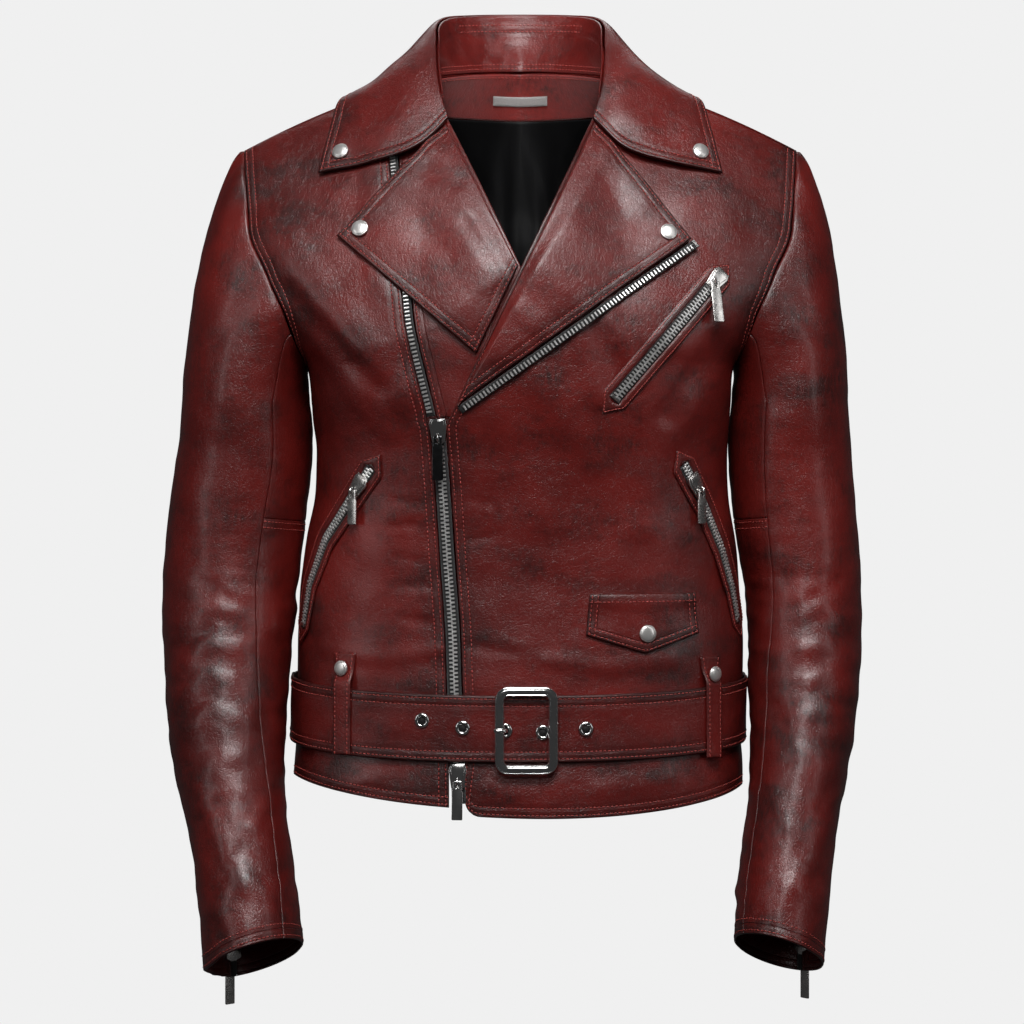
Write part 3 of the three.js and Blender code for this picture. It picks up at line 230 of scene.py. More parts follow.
def mesh_object(name, points, faces, material_index=None, smooth=True):
    mesh = bpy.data.meshes.new(name)
    mesh.from_pydata((np.asarray(points) * MM).tolist(), [], faces)
    mesh.polygons.foreach_set("use_smooth", [smooth] * len(mesh.polygons))
    if material_index is not None:
        mesh.polygons.foreach_set("material_index", np.asarray(material_index, np.int32))
    obj = bpy.data.objects.new(name, mesh)
    bpy.context.scene.collection.objects.link(obj)
    return obj


def paint(obj, **fields):
    for name, values in fields.items():
        layer = obj.data.attributes.new(name, "FLOAT", "POINT")
        layer.data.foreach_set("value", np.asarray(values, np.float32).ravel())


def unit(v):
    return v / np.maximum(np.linalg.norm(v, axis=-1, keepdims=True), 1e-9)


def lengths(P, axis):
    """Length along the grid from its first row or column."""
    d = np.linalg.norm(np.diff(P, axis=axis), axis=-1)
    zero = np.zeros_like(np.take(d, [0], axis=axis))
    return np.concatenate([zero, np.cumsum(d, axis=axis)], axis=axis)


NEAR_EDGE = [0, 0.4, 1.0, 1.9, 3.2]  # columns beside an edge


def even_shares(total, count):
    """Shares of a length, close together at both ends so that an edge can be rounded."""
    middle = np.linspace(NEAR_EDGE[-1], total - NEAR_EDGE[-1], count)[1:-1]
    return np.concatenate([NEAR_EDGE, middle, [total - d for d in reversed(NEAR_EDGE)]]) / total


def resampled(P, total_shares):
    """A polyline taken again at the given shares of its length."""
    at = lengths(P, 0)
    return np.stack([np.interp(total_shares * at[-1], at, P[:, k]) for k in range(P.shape[1])], 1)


FAR = 99.0  # stands for no edge nearby


class Grid:
    """A sheet of points and outward directions, with the lengths from its four borders."""

    def __init__(self, P, out, closed=False):
        self.P, self.closed = P, closed
        wrap = np.concatenate([P[:, -1:], P, P[:, :1]], 1) if closed else P
        across = np.gradient(wrap, axis=1)
        down = np.gradient(wrap, axis=0)
        n = unit(np.cross(down, across))
        self.N = n[:, 1:-1] if closed else n
        if np.sum(self.N * out) < 0:
            self.N = -self.N
        self.u = lengths(P, 1)
        self.v = lengths(P, 0)

    def borders(self, left=True, right=True, top=True, bottom=True):
        """Length from each point to the nearest of the stated borders."""
        d = [np.full(self.u.shape, FAR)]
        if left and not self.closed:
            d.append(self.u)
        if right and not self.closed:
            d.append(self.u[:, -1:] - self.u)
        if top:
            d.append(self.v)
        if bottom:
            d.append(self.v[-1:] - self.v)
        return np.min(d, axis=0)

    def push(self, height):
        """Moves the points outward by a height field."""
        self.P = self.P + self.N * height[..., None]
        return self

    def inset(self, side, distance, start=0.0, end=1.0):
        """The line at `distance` from a border, as points and directions."""
        flip = side in ("right", "bottom")
        if side in ("left", "right"):
            P, N, u = self.P, self.N, self.u
        else:
            P, N, u = self.P.swapaxes(0, 1), self.N.swapaxes(0, 1), self.v.T
        rows = range(int(start * (len(P) - 1)), int(end * (len(P) - 1)) + 1)
        at = [u[i, -1] - distance if flip else distance for i in rows]
        pick = lambda A: np.array([[np.interp(a, u[i], A[i, :, k]) for k in range(3)]
                                   for i, a in zip(rows, at)])
        return pick(P), unit(pick(N))


def shell(name, grid, thick, edge=None, dark=None, round_edge=0.9):
    """A closed sheet: the grid outside, the same grid `thick` inside it, with rounded rims."""
    m, n = grid.P.shape[:2]
    rim = grid.borders()
    drop = round_edge * (1 - np.sqrt(1 - (1 - np.clip(rim / 1.9, 0, 1)) ** 2))
    outer = grid.P - grid.N * drop[..., None]
    inner = grid.P - grid.N * (thick - 0.3 * drop)[..., None]
    points = np.concatenate([outer.reshape(-1, 3), inner.reshape(-1, 3)])
    index = np.arange(m * n).reshape(m, n)
    if grid.closed:
        index = np.concatenate([index, index[:, :1]], 1)
    a, b, c, d = (index[:-1, :-1], index[1:, :-1], index[1:, 1:], index[:-1, 1:])
    quads = np.stack([a, b, c, d], -1).reshape(-1, 4)
    tri = points[quads[:, 0]], points[quads[:, 1]], points[quads[:, 2]]
    face_n = np.cross(tri[1] - tri[0], tri[2] - tri[0])
    if np.sum(face_n * grid.N.reshape(-1, 3)[quads[:, 0]]) < 0:
        quads = quads[:, ::-1]
    k = m * n
    faces = [quads, quads[:, ::-1] + k]
    slots = [np.zeros(len(quads)), np.ones(len(quads))]

    def rim_faces(edge_line):
        e = np.stack([edge_line[:-1], edge_line[1:], edge_line[1:] + k, edge_line[:-1] + k], -1)
        faces.append(e)
        slots.append(np.zeros(len(e)))

    first = [index[0, :], index[-1, ::-1]]
    if not grid.closed:
        first += [index[::-1, 0], index[:, -1]]
    flat = quads[0]
    ahead = {(flat[i], flat[(i + 1) % 4]) for i in range(4)}
    turned = (index[0, 0], index[0, 1]) in ahead
    for edge_line in first:
        rim_faces(edge_line[::-1] if turned else edge_line)
    obj = mesh_object(name, points, np.concatenate(faces).tolist(), np.concatenate(slots))
    both = lambda f: np.concatenate([f.ravel(), f.ravel()])
    paint(obj, edge=both(np.full((m, n), FAR) if edge is None else edge),
          dark=both(np.zeros((m, n)) if dark is None else dark))
    return obj


def finish_piece(obj, nodes, slot, *materials, body=BODY_NAME):
    """Gives a piece its materials and body, and hides the CAD nodes it replaces; `slot` is not used."""
    obj.data.materials.clear()
    for material in materials:
        obj.data.materials.append(material)
    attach(obj, body)
    if nodes:
        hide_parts(*nodes)
    return obj


def cloth(node, grid, thick, materials, slot="hide", **look):
    """The visible sheet of a CAD node: its materials are the outer and the inner one."""
    obj = shell(node + "_look", grid, thick, **look)
    finish_piece(obj, [node], slot, *materials)


# ---- Folds and wear ---------------------------------------------------------------------------

WAVES = [(rng.normal(size=3), rng.uniform(0, 6.3)) for _ in range(22)]


def ripple(P, wavelength):
    """A smooth random height field over space, between about -1 and 1."""
    total = np.zeros(P.shape[:-1])
    for direction, phase in WAVES:
        total += np.sin(P @ (unit(direction) * 2 * np.pi / wavelength) + phase)
    return total / math.sqrt(len(WAVES) / 2) / 2


def stroke(a, b, points, half):
    """1 on a polyline of (a, b) points, falling softly to 0 at `half` beside it."""
    best = np.full(np.shape(a), 1e9)
    for (a0, b0), (a1, b1) in zip(points, points[1:]):
        length2 = (a1 - a0) ** 2 + (b1 - b0) ** 2
        t = np.clip(((a - a0) * (a1 - a0) + (b - b0) * (b1 - b0)) / length2, 0, 1)
        best = np.minimum(best, np.hypot(a - a0 - t * (a1 - a0), b - b0 - t * (b1 - b0)))
    return bump(best, 0, half)


def folds(a, b, strokes):
    """The sum of strokes given as (points, half width, height)."""
    return sum(height * stroke(a, b, points, half) for points, half, height in strokes)


# ---- Materials --------------------------------------------------------------------------------


class Nodes:
    """A material's node tree, with short ways to add and join nodes."""

    def __init__(self, name):
        self.material = bpy.data.materials.new(name)
        self.material.use_nodes = True
        self.tree = self.material.node_tree
        self.shader = self.tree.nodes["Principled BSDF"]

    def set(self, socket, value):
        self.shader.inputs[socket].default_value = value

    def add(self, kind, inputs=None, **settings):
        node = self.tree.nodes.new("ShaderNode" + kind)
        for key, value in settings.items():
            setattr(node, key, value)
        for key, value in (inputs or {}).items():
            self.join(node.inputs[key], value)
        return node

    def join(self, socket, value):
        if isinstance(value, bpy.types.NodeSocket):
            self.tree.links.new(value, socket)
        else:
            socket.default_value = value

    def math(self, operation, a, b=0.0, clamp=False):
        node = self.add("Math", {0: a, 1: b}, operation=operation, use_clamp=clamp)
        return node.outputs[0]

    def position(self):
        return self.add("TexCoord").outputs["Object"]

    def noise(self, scale, detail=3.0, rough=0.55, vector=None, stretch=None):
        vector = vector or self.position()
        if stretch:
            vector = self.add("Mapping", {"Vector": vector, "Scale": stretch}).outputs[0]
        inputs = {"Vector": vector, "Scale": scale, "Detail": detail, "Roughness": rough}
        return self.add("TexNoise", inputs).outputs["Fac"]

    def ramp(self, factor, stops):
        node = self.add("ValToRGB", {"Fac": factor})
        elements = node.color_ramp.elements
        while len(elements) < len(stops):
            elements.new(0.5)
        for element, (position, value) in zip(elements, stops):
            element.position = position
            element.color = (*value, 1) if isinstance(value, tuple) else (value, value, value, 1)
        return node.outputs["Color"]

    def blend(self, factor, a, b, mode="MIX"):
        node = self.add("Mix", data_type="RGBA", blend_type=mode)
        self.join(node.inputs[0], factor)
        self.join(node.inputs[6], a)
        self.join(node.inputs[7], b)
        return node.outputs[2]

    def bumps(self, *heights):
        """Joins bumps given as (height, metres); the first is the coarsest."""
        normal = None
        for height, distance in heights:
            node = self.add("Bump", {"Height": height, "Distance": distance, "Strength": 1.0})
            if normal:
                self.tree.links.new(normal, node.inputs["Normal"])
            normal = node.outputs["Normal"]
        self.tree.links.new(normal, self.shader.inputs["Normal"])


def leather(name, stitched=True, worn=1.0, glare=0.0):
    """Oxblood hide, darker along `edge` and `dark` (wear and painted shade); `glare` adds a painted
    highlight; `stitched` adds a turned, sewn hem.
    """
    m = Nodes(name)
    position = m.position()
    cloud = m.noise(9, 5, 0.6)
    streak = m.noise(24, 7, 0.7, stretch=(0.75, 0.75, 1.25))
    scratch = m.noise(330, 5, 0.75, stretch=(1, 1, 0.3))
    mottle = m.noise(150, 5, 0.7)
    low, high = (0.080, 0.0050, 0.0040), (0.160, 0.0105, 0.0080)
    # With glare, both tones are made lighter: a painted highlight on the hide.
    lit = [tuple(c * (1 + 2 * glare) for c in tone) + (1,) for tone in (low, high)]
    red = m.blend(m.ramp(cloud, [(0.3, 0.0), (0.68, 1.0)]), *lit)
    dark = m.add("Attribute", attribute_name="dark").outputs["Fac"]
    edge = m.add("Attribute", attribute_name="edge").outputs["Fac"]
    near = m.ramp(m.math("DIVIDE", edge, 26.0, True), [(0.0, 0.6), (0.3, 0.42), (1.0, 0.0)])
    blotch = m.ramp(streak, [(0.47, 0.0), (0.64, 0.95)])
    broken = m.ramp(scratch, [(0.36, 0.15), (0.62, 1.0)])
    uneven = m.ramp(mottle, [(0.25, 0.35), (0.7, 1.0)])
    # `dark` holds wear and, at the body's sides, painted shade.
    rubbed_and_painted_shade = m.math("MULTIPLY", m.math("ADD", near, dark), uneven)
    smudge = m.math("MULTIPLY", m.math("MULTIPLY", blotch, broken), worn)
    patina_and_painted_shade = m.math("ADD", rubbed_and_painted_shade, smudge, True)
    colour = m.blend(m.math("MULTIPLY", patina_and_painted_shade, 0.78), red, (0.0105, 0.0050, 0.0047, 1))
    m.join(m.shader.inputs["Base Color"], colour)
    rough = m.math("MULTIPLY_ADD", mottle, 0.2)
    rough.node.inputs[2].default_value = 0.235
    m.join(m.shader.inputs["Roughness"], rough)
    m.set("Specular IOR Level", 0.5)
    m.set("Coat Weight", 0.2)
    m.set("Coat Roughness", 0.24)
    m.set("Sheen Weight", glare)
    m.set("Sheen Roughness", 0.5)
    shift = m.add("TexNoise", {"Vector": position, "Scale": 130.0}).outputs["Color"]
    moved = m.add("VectorMath", {0: shift, 1: (0.006,) * 3}, operation="MULTIPLY").outputs[0]
    warped = m.add("VectorMath", {0: position, 1: moved}, operation="ADD").outputs[0]
    cells = m.add("TexVoronoi", {"Vector": warped, "Scale": 480.0, "Randomness": 1.0},
                  feature="DISTANCE_TO_EDGE").outputs["Distance"]
    grain = m.ramp(cells, [(0.0, 0.0), (0.14, 1.0)])
    tall = m.add("Mapping", {"Vector": warped, "Scale": (1.3, 1.3, 0.8)}).outputs[0]
    wrinkle = m.add("TexVoronoi", {"Vector": tall, "Scale": 150.0, "Randomness": 1.0},
                    feature="DISTANCE_TO_EDGE").outputs["Distance"]
    fine = m.ramp(wrinkle, [(0.0, 0.0), (0.1, 1.0)])
    heights = [(m.noise(30, 4, 0.5), 0.0009), (fine, 0.00006), (mottle, 0.00016), (grain, 0.00008)]
    if stitched:
        profile = m.ramp(m.math("DIVIDE", edge, 16.0, True), [
            (0.0, 0.35), (0.05, 0.9), (0.13, 0.75), (0.165, 0.1), (0.2, 0.8), (0.36, 1.0),
            (0.48, 0.75), (0.515, 0.1), (0.55, 0.75), (0.75, 1.0)])
        heights.insert(0, (profile, 0.0009))
    m.bumps(*heights)
    return m.material


def plain(name, colour, rough, metal=0.0, spread=0.15, grain=900, height=0.00005, coat=0.0):
    """A finish with a little cloudiness in its colour and roughness, and a fine bump."""
    m = Nodes(name)
    cloud = m.noise(grain / 12, 4, 0.6)
    low = tuple(c * (1 - spread) for c in colour)
    high = tuple(min(1, c * (1 + spread)) for c in colour)
    m.join(m.shader.inputs["Base Color"], m.ramp(cloud, [(0.3, low), (0.7, high)]))
    patches = m.ramp(m.noise(grain / 5), [(0.3, rough * 0.8), (0.7, rough * 1.25)])
    m.join(m.shader.inputs["Roughness"], patches)
    m.set("Metallic", metal)
    m.set("Coat Weight", coat)
    m.bumps((m.noise(grain), height))
    return m.material


def satin():
    m = Nodes("satin_black")
    weave = m.add("TexWave", {"Vector": m.position(), "Scale": 900.0, "Distortion": 1.0},
                  bands_direction="DIAGONAL").outputs["Fac"]
    cloud = m.noise(14, 4, 0.6, stretch=(1, 1, 0.25))
    blacks = m.ramp(cloud, [(0.3, (0.002, 0.002, 0.0022)), (0.7, (0.005, 0.005, 0.0055))])
    m.join(m.shader.inputs["Base Color"], blacks)
    m.join(m.shader.inputs["Roughness"], m.ramp(cloud, [(0.3, 0.38), (0.7, 0.5)]))
    m.set("Specular IOR Level", 0.22)
    m.set("Sheen Weight", 0.02)
    m.set("Sheen Roughness", 0.4)
    m.bumps((m.noise(40, 3, 0.5, stretch=(1, 1, 0.2)), 0.0012), (weave, 0.00003))
    return m.material


def woven(name, colour, scale=1400.0):
    m = Nodes(name)
    warp = m.add("TexWave", {"Vector": m.position(), "Scale": scale}, bands_direction="X").outputs["Fac"]
    weft = m.add("TexWave", {"Vector": m.position(), "Scale": scale}, bands_direction="Z").outputs["Fac"]
    cross = m.math("MULTIPLY", warp, weft)
    low = tuple(c * 0.6 for c in colour)
    m.join(m.shader.inputs["Base Color"], m.ramp(cross, [(0.0, low), (0.6, colour)]))
    m.set("Roughness", 0.75)
    m.set("Sheen Weight", 0.2)
    m.bumps((cross, 0.0001))
    return m.material


HIDE = leather("leather_oxblood")
HIDE_PLAIN = leather("leather_oxblood_plain", stitched=False)
HIDE_BELT = leather("leather_belt", stitched=True, worn=0.7)
# The neck facing's leather is made lighter by glare: a painted highlight.
HIDE_NECK_PAINTED_GLARE = leather("leather_neck_painted_glare", stitched=False, glare=0.4)
INSIDE = satin()
TAPE = woven("zip_tape_black", (0.016, 0.015, 0.016))
LABEL = woven("label_grey", (0.52, 0.49, 0.48), 2400.0)
# The thread is its own dark red, made lighter than the leather: partly a painted highlight on the proud
# threads.
THREAD = plain("thread_red_painted_highlight", (0.30, 0.040, 0.033), 0.5, grain=3000, height=0.00004)
TEETH = plain("zip_teeth", (0.74, 0.73, 0.72), 0.34, 0.85, 0.1, 1600, 0.00002)
PULL_DARK = plain("steel_dark", (0.10, 0.10, 0.105), 0.16, 1.0, 0.1, 900, 0.00001)
CHROME = plain("steel_polished", (0.74, 0.735, 0.73), 0.12, 1.0, 0.06, 700, 0.00001, 0.1)
CHROME_SATIN = plain("steel_satin", (0.68, 0.66, 0.64), 0.26, 1.0, 0.08, 900, 0.00002)
SNAP_METAL = plain("snap_metal", (0.72, 0.70, 0.68), 0.32, 0.8, 0.08, 500, 0.00002)
# Near-black discs in the eyelets' holes: painted shade, not a dark part.
PAINTED_SHADE_DISC = plain("painted_hole_shade", (0.006, 0.005, 0.005), 0.8, grain=500)

# ---- Stitches ---------------------------------------------------------------------------------

STITCH = {"pitch": 3.5, "length": 2.7, "radius": 0.44}
seams = []


def sew(P, N, pitch=STITCH["pitch"]):
    """Adds a row of stitches along a line of points with outward directions."""
    at = lengths(P, 0)
    count = int(at[-1] / pitch)
    if count < 1:
        return
    centres = (np.arange(count) + 0.5) * at[-1] / count
    pick = lambda A, s: np.stack([np.interp(s, at, A[:, k]) for k in range(3)], -1)
    half = STITCH["length"] / 2
    a, b = pick(P, centres - half), pick(P, centres + half)
    n = unit(pick(N, centres))
    t = unit(b - a)
    side = unit(np.cross(n, t))
    r = STITCH["radius"]
    rings = []
    for along, size, lift in ((-1, 0.45, -0.37), (-0.7, 1, -0.02), (0.7, 1, -0.02), (1, 0.45, -0.37)):
        centre = (a + b) / 2 + t * (along * half) + n * lift
        ring = [centre + (side * math.cos(q) + n * math.sin(q)) * (r * size)
                for q in np.linspace(0, 2 * np.pi, 7)[:-1]]
        rings.append(np.stack(ring, 1))
    seams.append(np.stack(rings, 1))


def sew_inset(grid, side, distances=(2.6, 8.2), start=0.0, end=1.0):
    """Adds rows of stitches at distances from a border of a grid."""
    for distance in distances:
        sew(*grid.inset(side, distance, start, end))


def stitches_object():
    """All stitches in one mesh: each is four rings of six points."""
    blocks = np.concatenate(seams)
    faces = []
    for k in range(3):
        for j in range(6):
            i = (j + 1) % 6
            faces.append((k * 6 + j, k * 6 + i, k * 6 + 6 + i, k * 6 + 6 + j))
    base = np.arange(len(blocks))[:, None, None] * 24
    quads = (base + np.array(faces)[None]).reshape(-1, 4)
    obj = mesh_object("stitches", blocks.reshape(-1, 3), quads.tolist())
    finish_piece(obj, [], "hide", THREAD)


# ---- Body panels ------------------------------------------------------------------------------


def row_points(in_x, out_x, height, z_row, face, columns):
    """x and z of a row of a panel, evenly spaced along the cloth; `height` gives z for x."""
    c, half = BODY(z_row, 3), BODY(z_row, 0)
    lean = lambda x: np.arcsin(np.clip((x - c) / half, -1, 1))
    x = c + half * np.sin(np.linspace(lean(in_x), lean(out_x), 700))
    x[0], x[-1] = in_x, out_x
    z = height(x)
    at = lengths(surface(x, z, face), 0)
    s = even_shares(at[-1], columns) * at[-1]
    return np.interp(s, at, x), np.interp(s, at, z)


ARM_ANGLES = np.concatenate([[0, 0.012, 0.03, 0.06], np.linspace(0.1, math.pi, 70)])
ROW = 3.2  # between the straight rows below the arm
LAST_ROW = -524  # below it the rows bend to the hem


def body_rows():
    """Rows from the shoulder to the hem: height, turn of the outer end, share of the armhole
    passed, share of the way to the hem."""
    rows = []
    for a in ARM_ANGLES:
        z = ARM_TOP - ARM_HEIGHT * (1 - math.cos(a)) / 2
        below = 0 if a < math.pi / 2 else 1 - math.sin(a) ** 1.5
        turn = math.radians(ARM_TURN - ARM_DIP * math.sin(a) ** 2 + (90 - ARM_TURN) * below)
        rows.append((z, turn, (ARM_TOP - z) / ARM_HEIGHT, 0.0))
    straight = np.arange(UNDERARM_Z - ROW, LAST_ROW + 2, -ROW)
    rows += [(z, math.pi / 2, 1.0, 0.0) for z in straight]
    tail = [t for t in sorted(set(np.round(1 - even_shares(40, 10)[::-1], 5))) if t > 0]
    rows += [(LAST_ROW, math.pi / 2, 1.0, t) for t in tail]
    return rows


def front_x(side, z):
    """Inner edge of a front panel."""
    if side < 0:
        closed, open_ = CLOSED_ZIP(z) - CLOSED_ZIP_HALF, RIGHT_ZIP(z) - ZIP_HALF
        return mix(closed, open_, step(z, -274, -266))
    (top_x, top_z), (foot_x, foot_z) = LEFT_ROLL
    neck = mix(NECK_X, top_x, (NECK_Z - z) / (NECK_Z - top_z))
    roll = mix(top_x, foot_x, (top_z - z) / (top_z - foot_z))
    open_ = neck if z > top_z else roll
    return mix(CLOSED_ZIP(z) + CLOSED_ZIP_HALF, open_, step(z, -274, -262))


def front_grid(side, columns):
    """A front panel: side is -1 for the right one and 1 for the left one."""
    rows = body_rows()
    top_x, top_z = front_x(side, NECK_Z), float(ridge(front_x(side, NECK_Z), "front"))
    tip_x, tip_z = float(body_x(side * rows[0][1], rows[0][0])), rows[0][0]

    def bow(share):
        """How far the shoulder seam bows above a straight line, at a share of its length."""
        return ridge(mix(top_x, tip_x, share), "front") - mix(top_z, tip_z, share)

    X, Z = [], []
    for z, turn, fall, hem in rows:
        in_z = mix(top_z, z, fall)
        in_x, out_x = float(front_x(side, in_z)), float(body_x(side * turn, z))

        def height(x, ends=(in_x, out_x, in_z, z), fade=(1 - fall) ** 3):
            share = (x - ends[0]) / (ends[1] - ends[0])
            return mix(ends[2], ends[3], share) + fade * bow(share)

        x, row_z = row_points(in_x, out_x, height, z, "front", columns)
        # The left front is cut round at the foot of the zip.
        near = 1 - np.clip((x - in_x) / CORNER, 0, 1) if side > 0 else 0 * x
        foot = hem_z(x, "front") + CORNER * (1 - np.sqrt(1 - near**2))
        X.append(x)
        Z.append(mix(row_z, foot, hem))
    X, Z = np.array(X), np.array(Z)
    lift = overlap(X, Z) if side > 0 else 0 * X
    return Grid(surface(X, Z, "front", lift), outward(X, Z, "front"))


def back_top(x):
    """Top edge of the back: the neck line, then the shoulder seam."""
    neck_line = BACK_NECK_Z - (BACK_NECK_Z - NECK_Z) * (x / NECK_X) ** 2
    return np.where(np.abs(x) < NECK_X, neck_line, ridge(x, "back"))


def back_grid(columns):
    X, Z = [], []
    for z, turn, fall, hem in body_rows():
        out_x = float(body_x(turn, z))

        def height(x, end=(fall, out_x, z)):
            fall_, out_x_, z_ = end
            if fall_ < 1:
                return mix(back_top(np.abs(x / out_x_) * SHOULDER_X), UNDERARM_Z, fall_)
            return np.full_like(x, z_)

        x, row_z = row_points(float(body_x(-turn, z)), out_x, height, z, "back", columns)
        X.append(x)
        Z.append(mix(row_z, hem_z(x, "back"), hem))
    X, Z = np.array(X), np.array(Z)
    return Grid(surface(X, Z, "back"), outward(X, Z, "back"))


def swell(P, size=1.0):
    """The slow unevenness of worn leather."""
    return size * (0.9 * ripple(P, 90) + 0.35 * ripple(P + 500, 34))


FRONT_FOLDS = [
    # Long soft drapes of the right chest, from the shoulder towards the zip.
    ([(-205, -110), (-165, -165), (-98, -245)], 26, 3.2),
    ([(-190, -160), (-150, -205), (-112, -240)], 13, -2.0),
    ([(-160, -205), (-135, -240), (-105, -275)], 15, 1.6),
    ([(-118, -60), (-122, -110), (-112, -160)], 16, 1.2),
    # Upright ripples of the left front below its lapel.
    ([(36, -168), (48, -205), (62, -250)], 11, 1.7),
    ([(52, -160), (66, -205), (84, -240)], 10, -1.4),
    ([(66, -165), (80, -200), (98, -232)], 10, 1.3),
    ([(10, -225), (28, -262), (60, -300)], 18, 1.5),
    ([(-20, -262), (6, -300), (20, -350)], 20, 1.2),
    ([(120, -262), (136, -240), (160, -205)], 16, -1.6),
    ([(150, -240), (110, -290), (96, -350)], 20, 1.5),
    # Small level creases beside the zip and at the waist.
    ([(-102, -331), (-80, -333)], 5, -0.7), ([(-104, -352), (-84, -350)], 5, -0.8),
    ([(-100, -376), (-79, -379)], 5, -0.7), ([(-98, -400), (-76, -398)], 6, -0.8),
    ([(-96, -424), (-74, -428)], 5, -0.7), ([(-40, -330), (-22, -334)], 5, -0.6),
    ([(-38, -362), (-18, -358)], 5, -0.6), ([(-42, -446), (-6, -452)], 7, -0.8),
    ([(-160, -452), (-110, -458), (-66, -450)], 10, 1.0),
    ([(20, -458), (70, -464), (120, -458)], 10, 1.0),
    ([(-150, -560), (-110, -552)], 8, 1.0), ([(-30, -560), (10, -566)], 8, 0.9),
    ([(60, -562), (120, -552)], 9, 1.0),
]
FRONT_DARK = [
    ([(-205, -70), (-150, -45)], 30, 0.5), ([(-190, -95), (-120, -105)], 20, 0.45),
    ([(-150, -300), (-120, -330)], 20, 0.4), ([(-170, -420), (-150, -470)], 24, 0.5),
    ([(120, -330), (150, -380)], 26, 0.5), ([(60, -300), (110, -310)], 14, 0.35),
    ([(120, -60), (190, -90)], 22, 0.4), ([(-30, -440), (30, -462)], 12, 0.4),
    ([(40, -475), (140, -470)], 12, 0.6), ([(-150, -478), (-70, -482)], 12, 0.6),
    ([(-160, -545), (-60, -562)], 14, 0.5), ([(-30, -545), (140, -548)], 14, 0.5),
    ([(50, -400), (145, -402)], 12, 0.55), ([(45, -458), (140, -455)], 14, 0.5),
]

BACK_FOLDS = [
    ([(-150, -120), (-60, -135), (60, -135), (150, -120)], 34, 2.0),
    ([(-160, -250), (-110, -300), (-60, -330)], 22, 2.2),
    ([(160, -250), (110, -300), (60, -330)], 22, 2.2),
    ([(-165, -330), (-100, -352), (-20, -356)], 15, -1.6),
    ([(165, -330), (100, -352), (20, -356)], 15, -1.6),
    ([(-150, -388), (-60, -400), (40, -394), (150, -404)], 16, 1.8),
    ([(-120, -430), (0, -440), (120, -428)], 16, -1.5), ([(-90, -180), (-80, -300)], 26, 1.4),
    ([(90, -180), (80, -300)], 26, 1.4), ([(0, -60), (4, -200)], 30, -1.2),
]


def body_panel(node, grid, fold_strokes, dark_strokes, edge_dark):
    """Folds, wear, painted shade at the sides and the visible piece of a body panel."""
    grid.push(folds(grid.P[..., 0], grid.P[..., 2], fold_strokes) + swell(grid.P))
    P = grid.P
    # The step at the body's sides (|x| from 150 to 182) darkens them: painted shade where the body turns
    # away from the light.
    dark = folds(P[..., 0], P[..., 2], dark_strokes) + 0.35 * step(np.abs(P[..., 0]), 150, 182)
    dark = dark + 0.25 * step(ripple(P, 60), 0.35, 0.9)
    dark = dark + edge_dark * (1 - step(grid.borders(top=False), 0, 16))
    stitched = grid.borders(right=False, left=node != "back_panel", top=False)
    beside_arm = np.arange(len(P))[:, None] < len(ARM_ANGLES)
    stitched = np.where(beside_arm, np.minimum(stitched, grid.u[:, -1:] - grid.u), stitched)
    cloth(node, grid, LEATHER, (HIDE, INSIDE), edge=stitched, dark=dark, round_edge=0.45)


right, left, back = front_grid(-1, 58), front_grid(1, 84), back_grid(130)
body_panel("front_right", right, FRONT_FOLDS, FRONT_DARK, 0.3)
body_panel("front_left", left, FRONT_FOLDS, FRONT_DARK, 0.3)
body_panel("back_panel", back, BACK_FOLDS, [], 0.2)
sew_inset(right, "left")
sew_inset(left, "left", start=0.36)
ARM_ROWS_SHARE = len(ARM_ANGLES) / len(right.P)
for grid in (right, left):
    sew_inset(grid, "right", end=ARM_ROWS_SHARE)
for border in ("left", "right"):
    sew_inset(back, border, (2.6,), end=ARM_ROWS_SHARE)
for grid in (right, left, back):
    sew_inset(grid, "bottom")
sew_inset(back, "top")


# ---- Sleeves ----------------------------------------------------------------------------------

SIGN = {"right": -1, "left": 1}


def tube_z(v):
    """Height at a place along a sleeve: v is 1 at the top of its tube and 2 at the cuff."""
    return mix(SLEEVE_TOP, CUFF_Z, np.asarray(v, float) - 1)


def arm_middle(side, z):
    table = SLEEVES[side]
    return np.stack([SIGN[side] * table(z, 0), table(z, 1), np.asarray(z, float)], -1)


def arm_round(side, z, angle):
    """Points on the round of a sleeve at heights and angles of equal shape."""
    down = unit(arm_middle(side, z - 3) - arm_middle(side, z + 3))
    out = np.zeros_like(down)
    out[..., 0] = SIGN[side]
    out = unit(out - down * np.sum(out * down, -1, keepdims=True))
    back = np.cross(down, out)
    back = back * np.sign(back[..., 1:2])
    table = SLEEVES[side]
    wide, deep = table(z, 2)[..., None], table(z, 3)[..., None]
    across = out * wide * np.cos(angle)[..., None]
    return arm_middle(side, z) + across - back * deep * np.sin(angle)[..., None], down


def armhole(side, angle):
    """Points of the armhole: the angle is 0 at the shoulder and passes the front first."""
    turned = np.mod(angle, 2 * np.pi)
    ahead = turned <= np.pi
    a = np.where(ahead, turned, 2 * np.pi - turned)
    z = ARM_TOP - ARM_HEIGHT * (1 - np.cos(a)) / 2
    low = np.where(a < np.pi / 2, 0, 1 - np.abs(np.sin(a)) ** 1.5)
    turn = np.radians(ARM_TURN - ARM_DIP * np.sin(a) ** 2 + (90 - ARM_TURN) * low)
    x = body_x(SIGN[side] * turn, z)
    return np.where(ahead[..., None], surface(x, z, "front"), surface(x, z, "back"))


